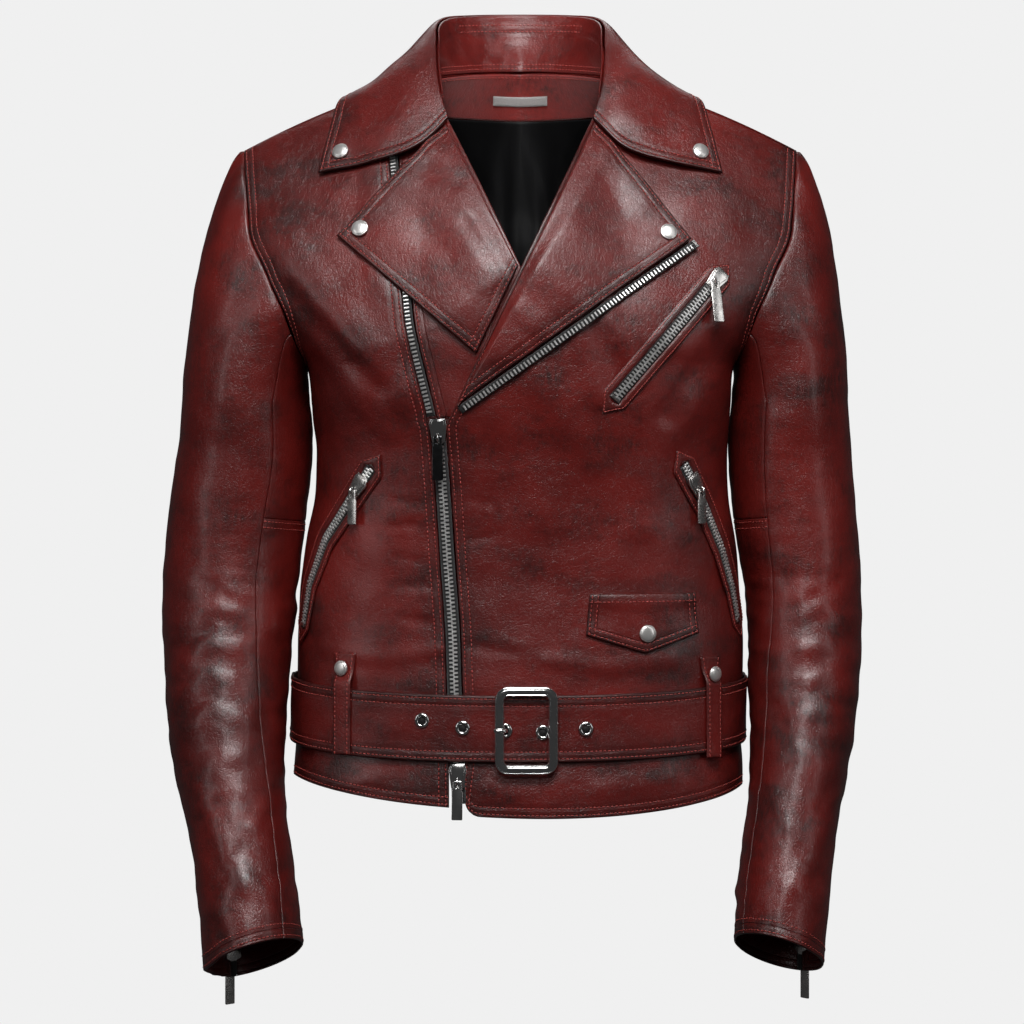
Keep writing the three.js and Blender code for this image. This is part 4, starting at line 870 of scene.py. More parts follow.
def sleeve_points(side, v, angle):
    """Points of a sleeve: v is 0 at the armhole, 1 at the top of the tube and 2 at the cuff."""
    c, s = np.cos(angle), np.sin(angle)
    outer, inner = CUFF_RISE[side]
    rise = mix(outer, inner, (1 - c) / 2) * step(v, 1.8, 2)
    tube, _ = arm_round(side, tube_z(np.maximum(v, 1)) + rise, angle)
    leave = unit(np.stack([SIGN[side] * (0.3 + 0.225 * (1 + c) + 0.3 * s * s), -0.25 * s,
                           -(0.66 + 0.145 * (1 - c) - 0.15 * s * s)], -1))
    start = armhole(side, angle) + leave * 0.5
    to, down = arm_round(side, np.full_like(angle, SLEEVE_TOP), angle)
    pull = 0.6 * np.linalg.norm(to - start, axis=-1, keepdims=True)
    t = np.clip(v, 0, 1)[..., None]
    head = (start * (2 * t**3 - 3 * t**2 + 1) + leave * pull * (t**3 - 2 * t**2 + t)
            + to * (3 * t**2 - 2 * t**3) + down * pull * (t**3 - t**2))
    return np.where((v >= 1)[..., None], tube, head)


def arm_seams(side, v):
    """Angles of a sleeve's front and back seams, in degrees."""
    z = tube_z(np.maximum(v, 1))
    front, back_ = SLEEVES[side](z, 4), SLEEVES[side](z, 5)
    seams_at = ((front, 135), (back_, 225))
    return [np.where(v >= 1, seam, mix(at_armhole, seam, v)) for seam, at_armhole in seams_at]


CUFF_ZIP_V = 1 + (SLEEVE_TOP - CUFF_ZIP_TOP) / TUBE


def sleeve_grid(side, v, columns, upper):
    front, rear = arm_seams(side, v)
    degrees = np.degrees(1 / ARM_RADIUS)
    rear_gap = np.where(v > CUFF_ZIP_V - 0.001, ZIP_HALF, HALF_SEAM) * degrees
    if upper:
        start, end = rear - 360 + rear_gap, front - HALF_SEAM * degrees
    else:
        start, end = front + HALF_SEAM * degrees, rear - rear_gap
    share = even_shares(float(np.mean(end - start)) / degrees, columns)
    angle = np.radians(mix(start[:, None], end[:, None], share[None]))
    V = np.broadcast_to(v[:, None], angle.shape)
    P = sleeve_points(side, V, angle)
    centre = arm_middle(side, tube_z(np.maximum(V, 0.6)))
    return Grid(P, P - centre), angle, V


# Folds of the sleeves, drawn as seen from the front: distance from the middle plane, height.
SLEEVE_FOLDS = [
    ([(262, -398), (236, -412)], 9, -0.9), ([(280, -432), (246, -418), (228, -426)], 10, 1.2),
    ([(284, -470), (250, -448), (226, -452)], 11, 1.5), ([(282, -452), (252, -436)], 6, -1.3),
    ([(282, -492), (252, -470), (232, -478)], 10, 1.3), ([(281, -508), (248, -487)], 6, -1.2),
    ([(280, -524), (250, -500), (222, -506)], 11, 1.4), ([(276, -545), (244, -522)], 7, -1.0),
    ([(272, -566), (240, -538), (212, -530)], 12, 1.5), ([(262, -590), (232, -566)], 7, -1.1),
    ([(254, -572), (228, -620), (200, -652)], 13, 1.8), ([(246, -640), (222, -606)], 7, -1.1),
    ([(250, -660), (216, -632), (190, -640)], 12, 1.2), ([(206, -500), (214, -540)], 10, -1.2),
    ([(200, -560), (212, -590)], 8, 1.1), ([(244, -664), (226, -690)], 9, -0.8),
    ([(268, -330), (250, -380), (230, -410)], 20, 1.2), ([(215, -268), (200, -330)], 18, 1.5),
    ([(206, -180), (232, -215), (240, -270)], 22, 1.8), ([(222, -170), (250, -200)], 14, -1.2),
    ([(212, -380), (206, -430), (214, -470)], 15, 1.0),
]
SLEEVE_DARK = [
    ([(258, -180), (240, -260)], 22, 0.45), ([(278, -400), (262, -440)], 20, 0.5),
    ([(248, -440), (240, -520)], 16, 0.45), ([(274, -500), (248, -560)], 18, 0.5),
    ([(212, -470), (216, -560)], 20, 0.4), ([(230, -600), (240, -680)], 22, 0.45),
    ([(232, -130), (222, -190)], 18, 0.4), ([(190, -690), (245, -700)], 10, 0.5),
]


def sleeve_shape(grid, angle, V):
    """Height of a sleeve's folds and crinkles, strongest at the bent elbow."""
    x, z = np.abs(grid.P[..., 0]), grid.P[..., 2]
    ahead = step(np.sin(angle), -0.15, 0.35)
    P = grid.P
    crinkle = ripple(P * [0.5, 0.5, 1.7], 40) + 0.6 * ripple(P * [0.6, 0.6, 1.6] + 90, 21)
    bent = 0.35 + 0.65 * step(z, -360, -430) * (1 - step(-z, 660, 700))
    behind = (1 - ahead) * bent * (0.7 * ripple(P * [0.4, 0.4, 1.8] + 40, 48))
    inner = step(-np.cos(angle), 0.3, 0.9) * bent * ripple(P * [0.5, 0.5, 2.2] + 9, 30)
    centre_face = step(np.sin(angle), 0.25, 0.8)
    height = folds(x, z, SLEEVE_FOLDS) * (0.25 + 0.75 * centre_face) * ahead
    height = 0.8 * height + behind + 0.5 * inner + 0.36 * bent * crinkle
    head = (1 - step(V, 0.02, 0.28)) * step(V, 0, 0.02)
    gathers = 0.9 + 0.8 * np.sin(angle * 11 + 0.7) * step(np.cos(angle), 0, 0.6)
    return height + swell(P, 0.6) + head * gathers


head_v = np.concatenate([[0, 0.004, 0.01, 0.02, 0.034], np.linspace(0.05, 1, 60)])
edge_v = np.array(NEAR_EDGE[::-1]) / TUBE
tube_v = np.concatenate([np.linspace(1, 2 - edge_v[0], 146)[1:-1], 2 - edge_v])
cross_v = 1 + (SLEEVE_TOP - CROSS_SEAM_Z) / TUBE
all_v = np.concatenate([head_v, tube_v])
near_cross = np.array([HALF_SEAM, 0.5, 1.1, 2.0, 3.3]) / TUBE
upper_v = np.concatenate([all_v[all_v < cross_v - 0.009], cross_v - near_cross[::-1]])
lower_v = np.concatenate([cross_v + near_cross, all_v[all_v > cross_v + 0.009]])

for side in ("right", "left"):
    for name, v, columns, upper in ((f"sleeve_upper_{side}", all_v, 84, True),
                                    (f"sleeve_under_{side}", upper_v, 34, False),
                                    (f"forearm_under_{side}", lower_v, 40, False)):
        grid, angle, V = sleeve_grid(side, v, columns, upper)
        grid.push(sleeve_shape(grid, angle, V))
        x, z = np.abs(grid.P[..., 0]), grid.P[..., 2]
        dark = folds(x, z, SLEEVE_DARK) * step(np.sin(angle), -0.2, 0.4)
        dark = dark + 0.3 * (1 - step(grid.borders(), 0, 14))
        dark = dark + 0.4 * step(ripple(grid.P * [1, 1, 1.5], 70), 0.3, 0.9)
        has_cuff = not name.startswith("sleeve_under")
        stitched = grid.borders(left=upper, right=False, top=False, bottom=has_cuff)
        cloth(name, grid, LEATHER, (HIDE, INSIDE), edge=stitched, dark=dark, round_edge=0.45)
        if has_cuff:
            sew_inset(grid, "bottom", (3.0, 12.0))
        if has_cuff and not upper:
            sew_inset(grid, "top", (2.6, 7.5))
        if upper:
            sew_inset(grid, "left", (2.6,), 0.02, 1)

# ---- Lapels -----------------------------------------------------------------------------------


def lapel_lift(s):
    return mix(2.4, 6.5, step(s, 0, 0.2)) - 1.5 * step(s, 0.6, 1)


LAPEL_FOLDS = {
    "right": [([(-92, -70), (-60, -100), (-30, -150)], 22, 1.2), ([(-70, -60), (-52, -75)], 12, -1.0),
              ([(-110, -118), (-70, -140)], 18, 0.9), ([(-40, -110), (-20, -140)], 12, -0.9)],
    "left": [([(70, -50), (96, -90)], 20, 1.2), ([(40, -120), (80, -150)], 22, 1.1),
             ([(0, -180), (30, -205)], 14, 1.0), ([(-20, -225), (10, -225)], 10, -0.7)],
}
LAPEL_DARK = {
    "right": [([(-100, -75), (-75, -60)], 14, 0.5), ([(-140, -115), (-100, -95)], 14, 0.4),
              ([(-60, -190), (-36, -208)], 16, 0.5)],
    "left": [([(110, -80), (134, -118)], 14, 0.4), ([(-45, -248), (-20, -225)], 16, 0.6),
             ([(20, -190), (70, -160)], 12, 0.35)],
}


def lapel(side, shape, columns, rows):
    """A lapel between its roll and its outer edge, each given as two [x, z] ends."""
    roll, outer = np.array(shape[0], float), np.array(shape[1], float)
    length = np.linalg.norm(roll[1] - roll[0])
    width = np.linalg.norm(outer.mean(0) - roll.mean(0))
    s, t = np.meshgrid(even_shares(width, columns), even_shares(length, rows))
    a = mix(roll[0], roll[1], t[..., None])
    b = mix(outer[0], outer[1], t[..., None])
    flat = mix(a, b, s[..., None])
    x, z = flat[..., 0], flat[..., 1]
    lift = lapel_lift(s)
    if side == "left":
        lift = overlap(x, z) + mix(lift + 0.3, 2.4, step(t, 0.75, 1))
    grid = Grid(surface(x, z, "front", lift), outward(x, z))
    grid.push(folds(x, z, LAPEL_FOLDS[side]) + 0.7 * ripple(grid.P, 60) * step(s, 0.02, 0.2))
    stitched = grid.borders(left=False)
    dark = folds(x, z, LAPEL_DARK[side]) + 0.5 * (1 - step(stitched, 0, 14))
    cloth(f"lapel_{side}", grid, 1.8, (HIDE, HIDE_PLAIN), edge=stitched, dark=dark, round_edge=1.1)
    for border in ("top", "right", "bottom") if side == "right" else ("top", "right"):
        sew_inset(grid, border, start=0.03, end=0.985)


lapel("right", RIGHT_LAPEL, 46, 50)
lapel("left", LEFT_LAPEL, 46, 90)

# ---- Underlap behind the right lapel ------------------------------------------------------------


def underlap():
    z = mix(15.0, -264.0, even_shares(279, 92))
    right_x = RIGHT_ZIP(z) + ZIP_HALF
    left_x = np.maximum(UNDERLAP(z), right_x + 3)
    s = even_shares(60, 26)
    x = mix(right_x[:, None], left_x[:, None], s[None])
    Z = np.broadcast_to(z[:, None], x.shape)
    grid = Grid(surface(x, Z, "front", -0.8), outward(x, Z))
    grid.push(0.5 * ripple(grid.P, 50))
    stitched = grid.borders(right=False, top=False, bottom=False)
    dark = 0.35 * (1 - step(grid.borders(), 0, 12))
    cloth("underlap_right", grid, LEATHER, (HIDE, HIDE_PLAIN), edge=stitched, dark=dark)
    sew_inset(grid, "left", (3.0,), 0.4, 1)


underlap()

# ---- Collar -----------------------------------------------------------------------------------


class Curve:
    """A centripetal Catmull-Rom curve, read by share of its length."""

    def __init__(self, points):
        p = np.array(points, float)
        self.p = np.concatenate([2 * p[:1] - p[1:2], p, 2 * p[-1:] - p[-2:-1]])
        self.t = np.linspace(0, 1, 201)
        self.at_length = lengths(self.by_knot(self.t), 0)

    def by_knot(self, t):
        last = len(self.p) - 3
        s = np.clip(np.asarray(t, float), 0, 1) * last
        i = np.minimum(s.astype(int), last - 1)
        w = (s - i)[..., None]
        p0, p1, p2, p3 = (self.p[i + k] for k in range(4))
        gap = lambda a, b: np.sqrt(np.linalg.norm(a - b, axis=-1, keepdims=True))
        d0, d1, d2 = gap(p0, p1), gap(p1, p2), gap(p2, p3)
        t1 = ((p1 - p0) / d0 - (p2 - p0) / (d0 + d1) + (p2 - p1) / d1) * d1
        t2 = ((p2 - p1) / d1 - (p3 - p1) / (d1 + d2) + (p3 - p2) / d2) * d1
        square, cube = -3 * p1 + 3 * p2 - 2 * t1 - t2, 2 * p1 - 2 * p2 + t1 + t2
        return p1 + t1 * w + square * w**2 + cube * w**3

    def __call__(self, share):
        length = np.asarray(share, float) * self.at_length[-1]
        return self.by_knot(np.interp(length, self.at_length, self.t))


def both_sides(points):
    """A curve through the points and their mirror images; the last lies in the middle."""
    return Curve(list(points) + [(-x, y, z) for x, y, z in reversed(points[:-1])])


ROLL, COLLAR_LOW = both_sides(COLLAR_ROLL), both_sides(COLLAR_EDGE)
COLLAR_ENDS = Curve(COLLAR_FRONT)


def collar_points(v, k):
    """Points of the collar: v along it from the right end, k from its roll to its edge."""
    v, k = np.broadcast_arrays(v, k)
    point = mix(ROLL(v), COLLAR_LOW(v), k[..., None])
    near = (1 - step(np.minimum(v, 1 - v), 0, 0.22))[..., None]
    roll_end, edge_end = np.array(COLLAR_ROLL[0], float), np.array(COLLAR_EDGE[0], float)
    bend = (COLLAR_ENDS(k) - mix(roll_end, edge_end, k[..., None])) * near
    bend[..., 0] = np.where(v > 0.5, -bend[..., 0], bend[..., 0])
    out = np.stack([point[..., 0], point[..., 1] - NECK_AXIS_Y, np.zeros_like(k)], -1)
    out = unit(out)
    out[..., 2] = 0.7
    bulge = 10 * np.sin(np.pi * np.maximum(k, 0) ** 0.6)[..., None] * (1 - near)
    return point + bend + unit(out) * bulge


def collar():
    v = even_shares(ROLL.at_length[-1] * 1.6, 170)
    k = even_shares(105, 40)
    K, V = np.meshgrid(k, v)
    P = collar_points(V, K)
    away = P - np.array([0, NECK_AXIS_Y + 5, -160.0])
    grid = Grid(P.swapaxes(0, 1).copy(), away.swapaxes(0, 1))
    K = K.T
    soft = 1.1 * ripple(grid.P, 75) + 0.5 * ripple(grid.P + 40, 32)
    grid.push(soft * step(K, 0.02, 0.15))
    stitched = grid.borders(top=False)
    dark = 0.5 * (1 - step(stitched, 0, 15)) + 0.3 * step(ripple(grid.P, 60), 0.3, 0.9)
    dark = dark + 0.35 * bump(K, 0, 0.1)
    cloth("collar_fall", grid, 2.0, (HIDE, HIDE_PLAIN), edge=stitched, dark=dark, round_edge=1.1)
    for border in ("bottom", "left", "right"):
        sew_inset(grid, border, start=0.02, end=0.985)


collar()


def neck_seam(u):
    """Points of the neck seam, from its front end at u = 0 to the middle of the back at 1."""
    ahead_share = 0.4
    share = np.clip(u / ahead_share, 0, 1)
    ahead = surface(mix(-59.0, -80.0, share), mix(-21.0, 18.0, share), "front")
    x = -NECK_X * (1 - np.clip((u - ahead_share) / (1 - ahead_share), 0, 1))
    behind = surface(x, back_top(x), "back")
    return np.where((u < ahead_share)[..., None], ahead, behind)


def stand():
    v = mix(0.07, 0.93, even_shares(330, 120))
    seam = neck_seam(2 * np.minimum(v, 1 - v))
    seam[:, 0] = np.where(v > 0.5, -seam[:, 0], seam[:, 0])
    inward = lambda p: unit(np.stack([-p[:, 0], NECK_AXIS_Y - p[:, 1], np.zeros(len(p))], -1))
    low = seam + inward(seam) * 2.4 + [0, 0, 0.8]
    high = ROLL(v)
    high = high + inward(high) * 3.0 - [0, 0, 1]
    k = even_shares(60, 22)
    P = mix(high[None], low[None], k[:, None, None])
    out = -inward(seam)[None] + np.zeros_like(P)
    grid = Grid(P, -out)
    K = np.broadcast_to(k[:, None], P.shape[:2])
    seam_at = 0.31
    crease = ripple(grid.P * [0.7, 1, 1.6] + 30, 26) + 0.7 * ripple(grid.P * [1, 1, 0.6], 15)
    creased = 0.55 * crease * step(K, 0.02, 0.1) * (1 - step(K, 0.9, 1))
    grid.push(0.5 * ripple(grid.P, 50) + creased - 0.9 * bump(K, seam_at, 0.03))
    near_seam = np.abs(K - seam_at) * 60
    near = np.minimum(grid.borders(left=False, right=False, top=False), near_seam)
    dark = 0.3 * (1 - step(near, 0, 8))
    cloth("collar_stand", grid, LEATHER, (HIDE_PLAIN, HIDE_PLAIN), dark=dark)
    seam_down = float(grid.v[-1].mean()) * seam_at
    for distance in (seam_down - 3.0, seam_down + 2.6):
        P, N = grid.inset("top", distance)
        sew(P[42:-42], N[42:-42])
    sew_inset(grid, "bottom", (2.8, 6.5))


stand()

# ---- Facing, lining and label -------------------------------------------------------------------


def inside_patch(name, half, top, foot, deep, thick, columns, rows, materials, slot, fold=0.0):
    """A sheet inside the back, `deep` in from the body's outer face."""
    x = mix(-half, half, even_shares(2 * half, columns))
    t = even_shares(abs(float(top(np.zeros(1))[0]) - foot), rows)
    Z = mix(top(x)[None], float(foot), t[:, None])
    X = np.broadcast_to(x[None], Z.shape)
    grid = Grid(surface(X, Z, "back", -deep), -outward(X, Z, "back"))
    T = np.broadcast_to(t[:, None], Z.shape)
    if fold:
        wave = np.sin(X / 4.6 + 1.6 * np.sin(X / 19 + Z / 60)) + 0.5 * np.sin(X / 2.7 + Z / 80 + 2)
        grid.push(fold * (wave + 0.3) * step(T, 0, 0.5))
    cloth(name, grid, thick, materials, slot)
    return grid


def straight_top(z):
    """A top edge at one height."""
    return lambda x: np.full_like(x, z)


FACING_FOOT = -9
facing = inside_patch("back_neck_facing", 74, lambda x: back_top(x) - 2 * HALF_SEAM, FACING_FOOT,
                      3.2, 1.2, 54, 12, (HIDE_NECK_PAINTED_GLARE, HIDE_PLAIN), "hide")
sew_inset(facing, "top", (3.0,))
inside_patch("lining_back", 118, straight_top(FACING_FOOT - 2 * HALF_SEAM), -235, 4.4, 1.0, 84, 78,
             (INSIDE, INSIDE), "lining", 1.7)
inside_patch("label", 25, straight_top(11.5), 3.5, 4.6, 0.8, 20, 5, (LABEL, LABEL), "label")

# ---- Belt and loops -----------------------------------------------------------------------------


BELT_WIDTH = 53.5


def belt():
    turn = np.linspace(-np.pi, np.pi, 2400)
    ahead = np.where(np.abs(turn) < np.pi / 2, np.abs(np.cos(turn)) ** 1.5, 0)
    top = mix(-478.0, -486.0, ahead)
    behind = (np.abs(turn) > np.pi / 2)[:, None]
    share = np.linspace(0, 1, 431)[:-1]
    rows, normals = [], []
    for fall in BELT_WIDTH * even_shares(BELT_WIDTH, 18):
        z = top - fall
        folded = np.arcsin(np.sin(turn))
        x = mix(BODY(z, 3) + BODY(z, 0) * np.sin(turn), body_x(folded, z), 0.5)
        P = np.where(behind, surface(x, z, "back", 4.8), surface(x, z, "front", 4.8))
        N = np.where(behind, outward(x, z, "back"), outward(x, z, "front"))
        rows.append(resampled(P, share))
        normals.append(unit(resampled(N, share)))
    grid = Grid(np.array(rows), np.array(normals), closed=True)
    grid.push(0.45 * ripple(grid.P * [1, 1, 0.4], 90) + 0.3 * ripple(grid.P, 28))
    edge = grid.borders()
    dark = 0.75 * (1 - step(edge, 0, 14)) + 0.3 * step(ripple(grid.P + 70, 55), 0.1, 0.9)
    cloth("belt", grid, 2.4, (HIDE_BELT, HIDE_PLAIN), edge=edge, dark=dark, round_edge=1.2)
    for side in ("top", "bottom"):
        sew_inset(grid, side, (2.8, 8.4))


belt()


def on_line(points, t):
    """Points of an [x, z] line at shares of its length."""
    return resampled(np.array(points, float), np.atleast_1d(t))


def strip(points, t, offset, face="front"):
    """A strip along an [x, z] line on the body: a row of offsets beside it for each share t.
    Gives its points, outward directions and directions across."""
    middle = on_line(points, t)
    P = surface(middle[:, 0], middle[:, 1], face)
    N = outward(middle[:, 0], middle[:, 1], face)
    ahead = on_line(points, np.minimum(t + 0.01, 1))
    behind = on_line(points, np.maximum(t - 0.01, 0))
    along = surface(ahead[:, 0], ahead[:, 1], face) - surface(behind[:, 0], behind[:, 1], face)
    across = unit(np.cross(along, N))
    P = P[:, None] + across[:, None] * offset[..., None]
    return P, np.broadcast_to(N[:, None], (*offset.shape, 3)), across


def belt_loop(name, x, top, foot, face):
    """An upright loop that is wider at its top, where it is sewn or snapped."""
    t = even_shares(top - foot, 34)
    z = mix(top, foot, t)
    half = 8.5 + 2.0 * step(z, top - 18, top)
    offset = half[:, None] * mix(-1.0, 1.0, even_shares(17, 9))[None]
    P, N, _ = strip([(x, top), (x, foot)], t, offset, face)
    lift = mix(7.2, 2.4, step(z, -480, -466))
    puff = 0.9 * bump(np.linspace(-1, 1, offset.shape[1]), 0, 1.2)
    grid = Grid(P + N * (lift[:, None] + puff * 0.5)[..., None], N)
    dark = 0.6 * (1 - step(grid.borders(), 0, 7))
    cloth(name, grid, 1.6, (HIDE_PLAIN, HIDE_PLAIN), dark=dark)
    for side in ("left", "right"):
        sew_inset(grid, side, (2.6,))


belt_loop("belt_loop_right", -141, -454, -536, "front")
belt_loop("belt_loop_left", 152.5, -458, -540, "front")
belt_loop("belt_loop_back", 0, -458, -540, "back")

# ---- Pocket welts and coin flap -----------------------------------------------------------------


POCKET_STEPS = 60


def pocket_outline(points, half, tip):
    """A closed line round a pocket's zip as [x, z]: `half` beside it, `tip` past its ends."""
    t = np.linspace(0, 1, POCKET_STEPS)
    P, _, across = strip(points, t, np.zeros((POCKET_STEPS, 1)))
    P = P[:, 0]
    first, last = unit(P[0] - P[3]), unit(P[-1] - P[-4])
    one = P + across * half
    two = (P - across * half)[::-1]
    ring = np.concatenate([one, [P[-1] + last * tip], two, [P[0] + first * tip], one[:1]])
    return ring[:, [0, 2]]


def welt(name, points):
    """The flat rim round a pocket's zip, pointed at both ends."""
    n = POCKET_STEPS
    corners = [0, n - 1, n, n + 1, 2 * n, 2 * n + 1, 2 * n + 2]
    columns = [70, 8, 8, 70, 8, 8]

    def even(ring):
        return np.concatenate([
            resampled(ring[a:b + 1], np.linspace(0, 1, count + 1)[:-1])
            for a, b, count in zip(corners, corners[1:], columns)])

    inner, outer = even(pocket_outline(points, 4.9, 2)), even(pocket_outline(points, 11.5, 14))
    t = even_shares(7.5, 4)
    flat = mix(inner[None], outer[None], t[:, None, None])
    X, Z = flat[..., 0], flat[..., 1]
    grid = Grid(surface(X, Z, "front", 2.2), outward(X, Z), closed=True)
    T = np.broadcast_to(t[:, None], X.shape)
    grid.push(0.5 * bump(T, 0.35, 0.5))
    cloth(name, grid, 1.1, (HIDE_PLAIN, HIDE_PLAIN), dark=np.full(X.shape, 0.55))
    sew(*grid.inset("bottom", 1.6), pitch=2.9)


welt("chest_welt", CHEST_POCKET)
welt("hand_welt_right", HAND_POCKETS["right"])
welt("hand_welt_left", HAND_POCKETS["left"])


def coin_flap():
    t = even_shares(86, 34)
    k = even_shares(40, 16)
    x = np.where(t < 0.5, mix(55, 100, 2 * t), mix(100, 140, 2 * t - 1))
    far = np.where(x < 100, 55, 140)
    foot = mix(-453.5, -438.5, np.abs(x - 100) / np.abs(far - 100))
    X = x[None] + 3 * (2 * t[None] - 1) * k[:, None]
    Z = mix(-405.5, foot[None], k[:, None])
    grid = Grid(surface(X, Z, "front", 2.4), outward(X, Z))
    K = np.broadcast_to(k[:, None], X.shape)
    grid.push(0.9 * bump(K, 0.12, 0.25) + 0.5 * bump(K, 0.9, 0.3) + 0.25 * ripple(grid.P, 22))
    dark = 0.7 * (1 - step(grid.borders(), 0, 9))
    cloth("coin_flap", grid, 1.4, (HIDE, HIDE_PLAIN), edge=grid.borders(top=False), dark=dark,
          round_edge=1.0)
    for side in ("left", "right", "bottom"):
        sew_inset(grid, side, (2.2, 7.0), 0.05, 0.97)
    sew_inset(grid, "top", (6.5,))


coin_flap()

# ---- Zips ---------------------------------------------------------------------------------------

MAIN_PITCH, SMALL_PITCH = 3.3, 2.9
teeth_blocks = []


def block(centre, along, across, out, size):
    """Corner points of a small bevelled block: size is (along, across, out)."""
    a, b, c = size
    corners = []
    for level, share_a, share_b in ((-0.5, 1, 1), (0.3, 1, 1), (0.5, 0.62, 0.86)):
        for i, j in ((-1, -1), (1, -1), (1, 1), (-1, 1)):
            flat = along * (i * a * share_a / 2) + across * (j * b * share_b / 2)
            corners.append(centre + flat + out * (level * c))
    return np.stack(corners, -2)


def tooth_row(P, N, across, side, pitch, size, phase, lift=0.3):
    """Adds a row of teeth `side` beside a line."""
    at = lengths(P, 0)
    centres = np.arange(phase * pitch, at[-1] - 0.5 * pitch, pitch)
    pick = lambda A: np.stack([np.interp(centres, at, A[:, k]) for k in range(3)], -1)
    centre, n, s = pick(P), unit(pick(N)), unit(pick(across))
    t = unit(np.cross(n, s))
    teeth_blocks.append(block(centre + s * side + n * lift, t, s, n, size))


def blocks_object(name, blocks, material):
    """All small blocks joined in one mesh: each is three rings of four corners."""
    corners = np.concatenate(blocks)
    count = len(corners)
    faces = [(3, 2, 1, 0), (8, 9, 10, 11)]
    for ring in (0, 4):
        faces += [(ring + j, ring + (j + 1) % 4, ring + 4 + (j + 1) % 4, ring + 4 + j)
                  for j in range(4)]
    quads = (np.arange(count)[:, None, None] * 12 + np.array(faces)[None]).reshape(-1, 4)
    obj = mesh_object(name, corners.reshape(-1, 3), quads.tolist(), smooth=False)
    finish_piece(obj, [], "zip", material)


def tape(name, points, half, lift, rows):
    """A zip's dark tape; gives its middle line, outward directions and directions across."""
    t = np.linspace(0, 1, rows)
    offset = np.broadcast_to(half * np.linspace(-1, 1, 5)[None], (rows, 5))
    P, N, across = strip(points, t, offset)
    raise_ = lift(P[:, 2]) if callable(lift) else np.full(rows, float(lift))
    P = P + N * raise_[:, None, None]
    cloth(name, Grid(P, N), 1.0, (TAPE, TAPE), "zip", round_edge=0.3)
    return P[:, 2], N[:, 2], across


def closed_chain(middle, pitch, half):
    """The two meshed rows of a closed zip, along a tape's middle line."""
    for side in (-1, 1):
        tooth_row(*middle, side * half * 0.34, pitch, (1.55, half * 0.95, 1.9),
                  phase=0.5 * (side > 0) + 0.3)


def open_row(middle, side, width):
    """The single row of teeth beside an open edge."""
    tooth_row(*middle, side, MAIN_PITCH, (1.6, width, 1.9), phase=0.3)


right_z = mix(4.0, -263.0, np.linspace(0, 1, 30))
closed_z = mix(-270.0, -572.0, np.linspace(0, 1, 30))
right_line = np.stack([RIGHT_ZIP(right_z), right_z], 1)
closed_line = np.stack([CLOSED_ZIP(closed_z), closed_z], 1)
left_lift = lambda p: overlap(p[:, 0], p[:, 2]) + mix(4.6, 2.2, step(p[:, 0], 0, -50))

open_row(tape("zip_main_right", right_line, 3.4, 0.7, rows=90), 0.6, width=4.4)
open_row(tape("zip_main_left", LEFT_ZIP, 3.4, left_lift, rows=90), -0.5, width=4.6)
closed_chain(tape("zip_main_closed", closed_line, 5.7, 0.4, rows=110), MAIN_PITCH, 4.1)
closed_chain(tape("zip_chest", CHEST_POCKET, 4.8, 1.6, rows=50), 3.1, 4.6)
for side in ("right", "left"):
    middle = tape(f"zip_hand_{side}", HAND_POCKETS[side], 4.8, 1.6, rows=60)
    closed_chain(middle, SMALL_PITCH, 4.0)


def cuff_zip(side):
    v = np.linspace(CUFF_ZIP_V + 0.012, 2.0, 60)
    _, rear = arm_seams(side, v)
    offsets = np.linspace(-1, 1, 5) * 3.5 / ARM_RADIUS
    angle = np.radians(rear)[:, None] + offsets[None]
    V = np.broadcast_to(v[:, None], angle.shape)
    P = sleeve_points(side, V, angle)
    centre = arm_middle(side, tube_z(V))
    grid = Grid(P, P - centre)
    grid.push(np.full(angle.shape, 0.2))
    cloth(f"zip_cuff_{side}", grid, 1.0, (TAPE, TAPE), "zip", round_edge=0.3)
    across = unit(np.gradient(grid.P, axis=1)[:, 2])
    closed_chain((grid.P[:, 2], grid.N[:, 2], across), SMALL_PITCH, 3.8)


cuff_zip("right")
cuff_zip("left")
blocks_object("zip_teeth", teeth_blocks, TEETH)

# ---- Turned metal: snaps and eyelets --------------------------------------------------------------


def axes_at(point, up, out):
    """A place for a metal part: its axes across, up and out, and its origin."""
    across = unit(np.cross(up, out))
    upward = unit(np.cross(out, across))
    return np.stack([across, upward, unit(out)]), np.asarray(point, float)


def lathe(name, profile, place, material, nodes, slot="steel", count=40):
    """Turns an (r, h) profile about the outward axis of a place."""
    axes, origin = place
    angle = np.linspace(0, 2 * np.pi, count + 1)[:-1]
    r, h = np.array(profile, float).T
    local = np.stack([r[:, None] * np.cos(angle), r[:, None] * np.sin(angle),
                      np.broadcast_to(h[:, None], (len(r), count))], -1)
    points = (local @ axes + origin).reshape(-1, 3)
    faces = []
    for i in range(len(r) - 1):
        for j in range(count):
            k = (j + 1) % count
            faces.append((i * count + j, i * count + k, (i + 1) * count + k, (i + 1) * count + j))
    closed = r[0] == r[-1] and h[0] == h[-1]
    if not closed:
        last = (len(r) - 1) * count
        faces += [tuple(range(count))[::-1], tuple(last + j for j in range(count))]
    finish_piece(mesh_object(name, points, faces), nodes, slot, material)


def arc(cx, cy, r, a0, a1, n):
    a = np.radians(np.linspace(a0, a1, n))
    return [(cx + r * math.cos(q), cy + r * math.sin(q)) for q in a]


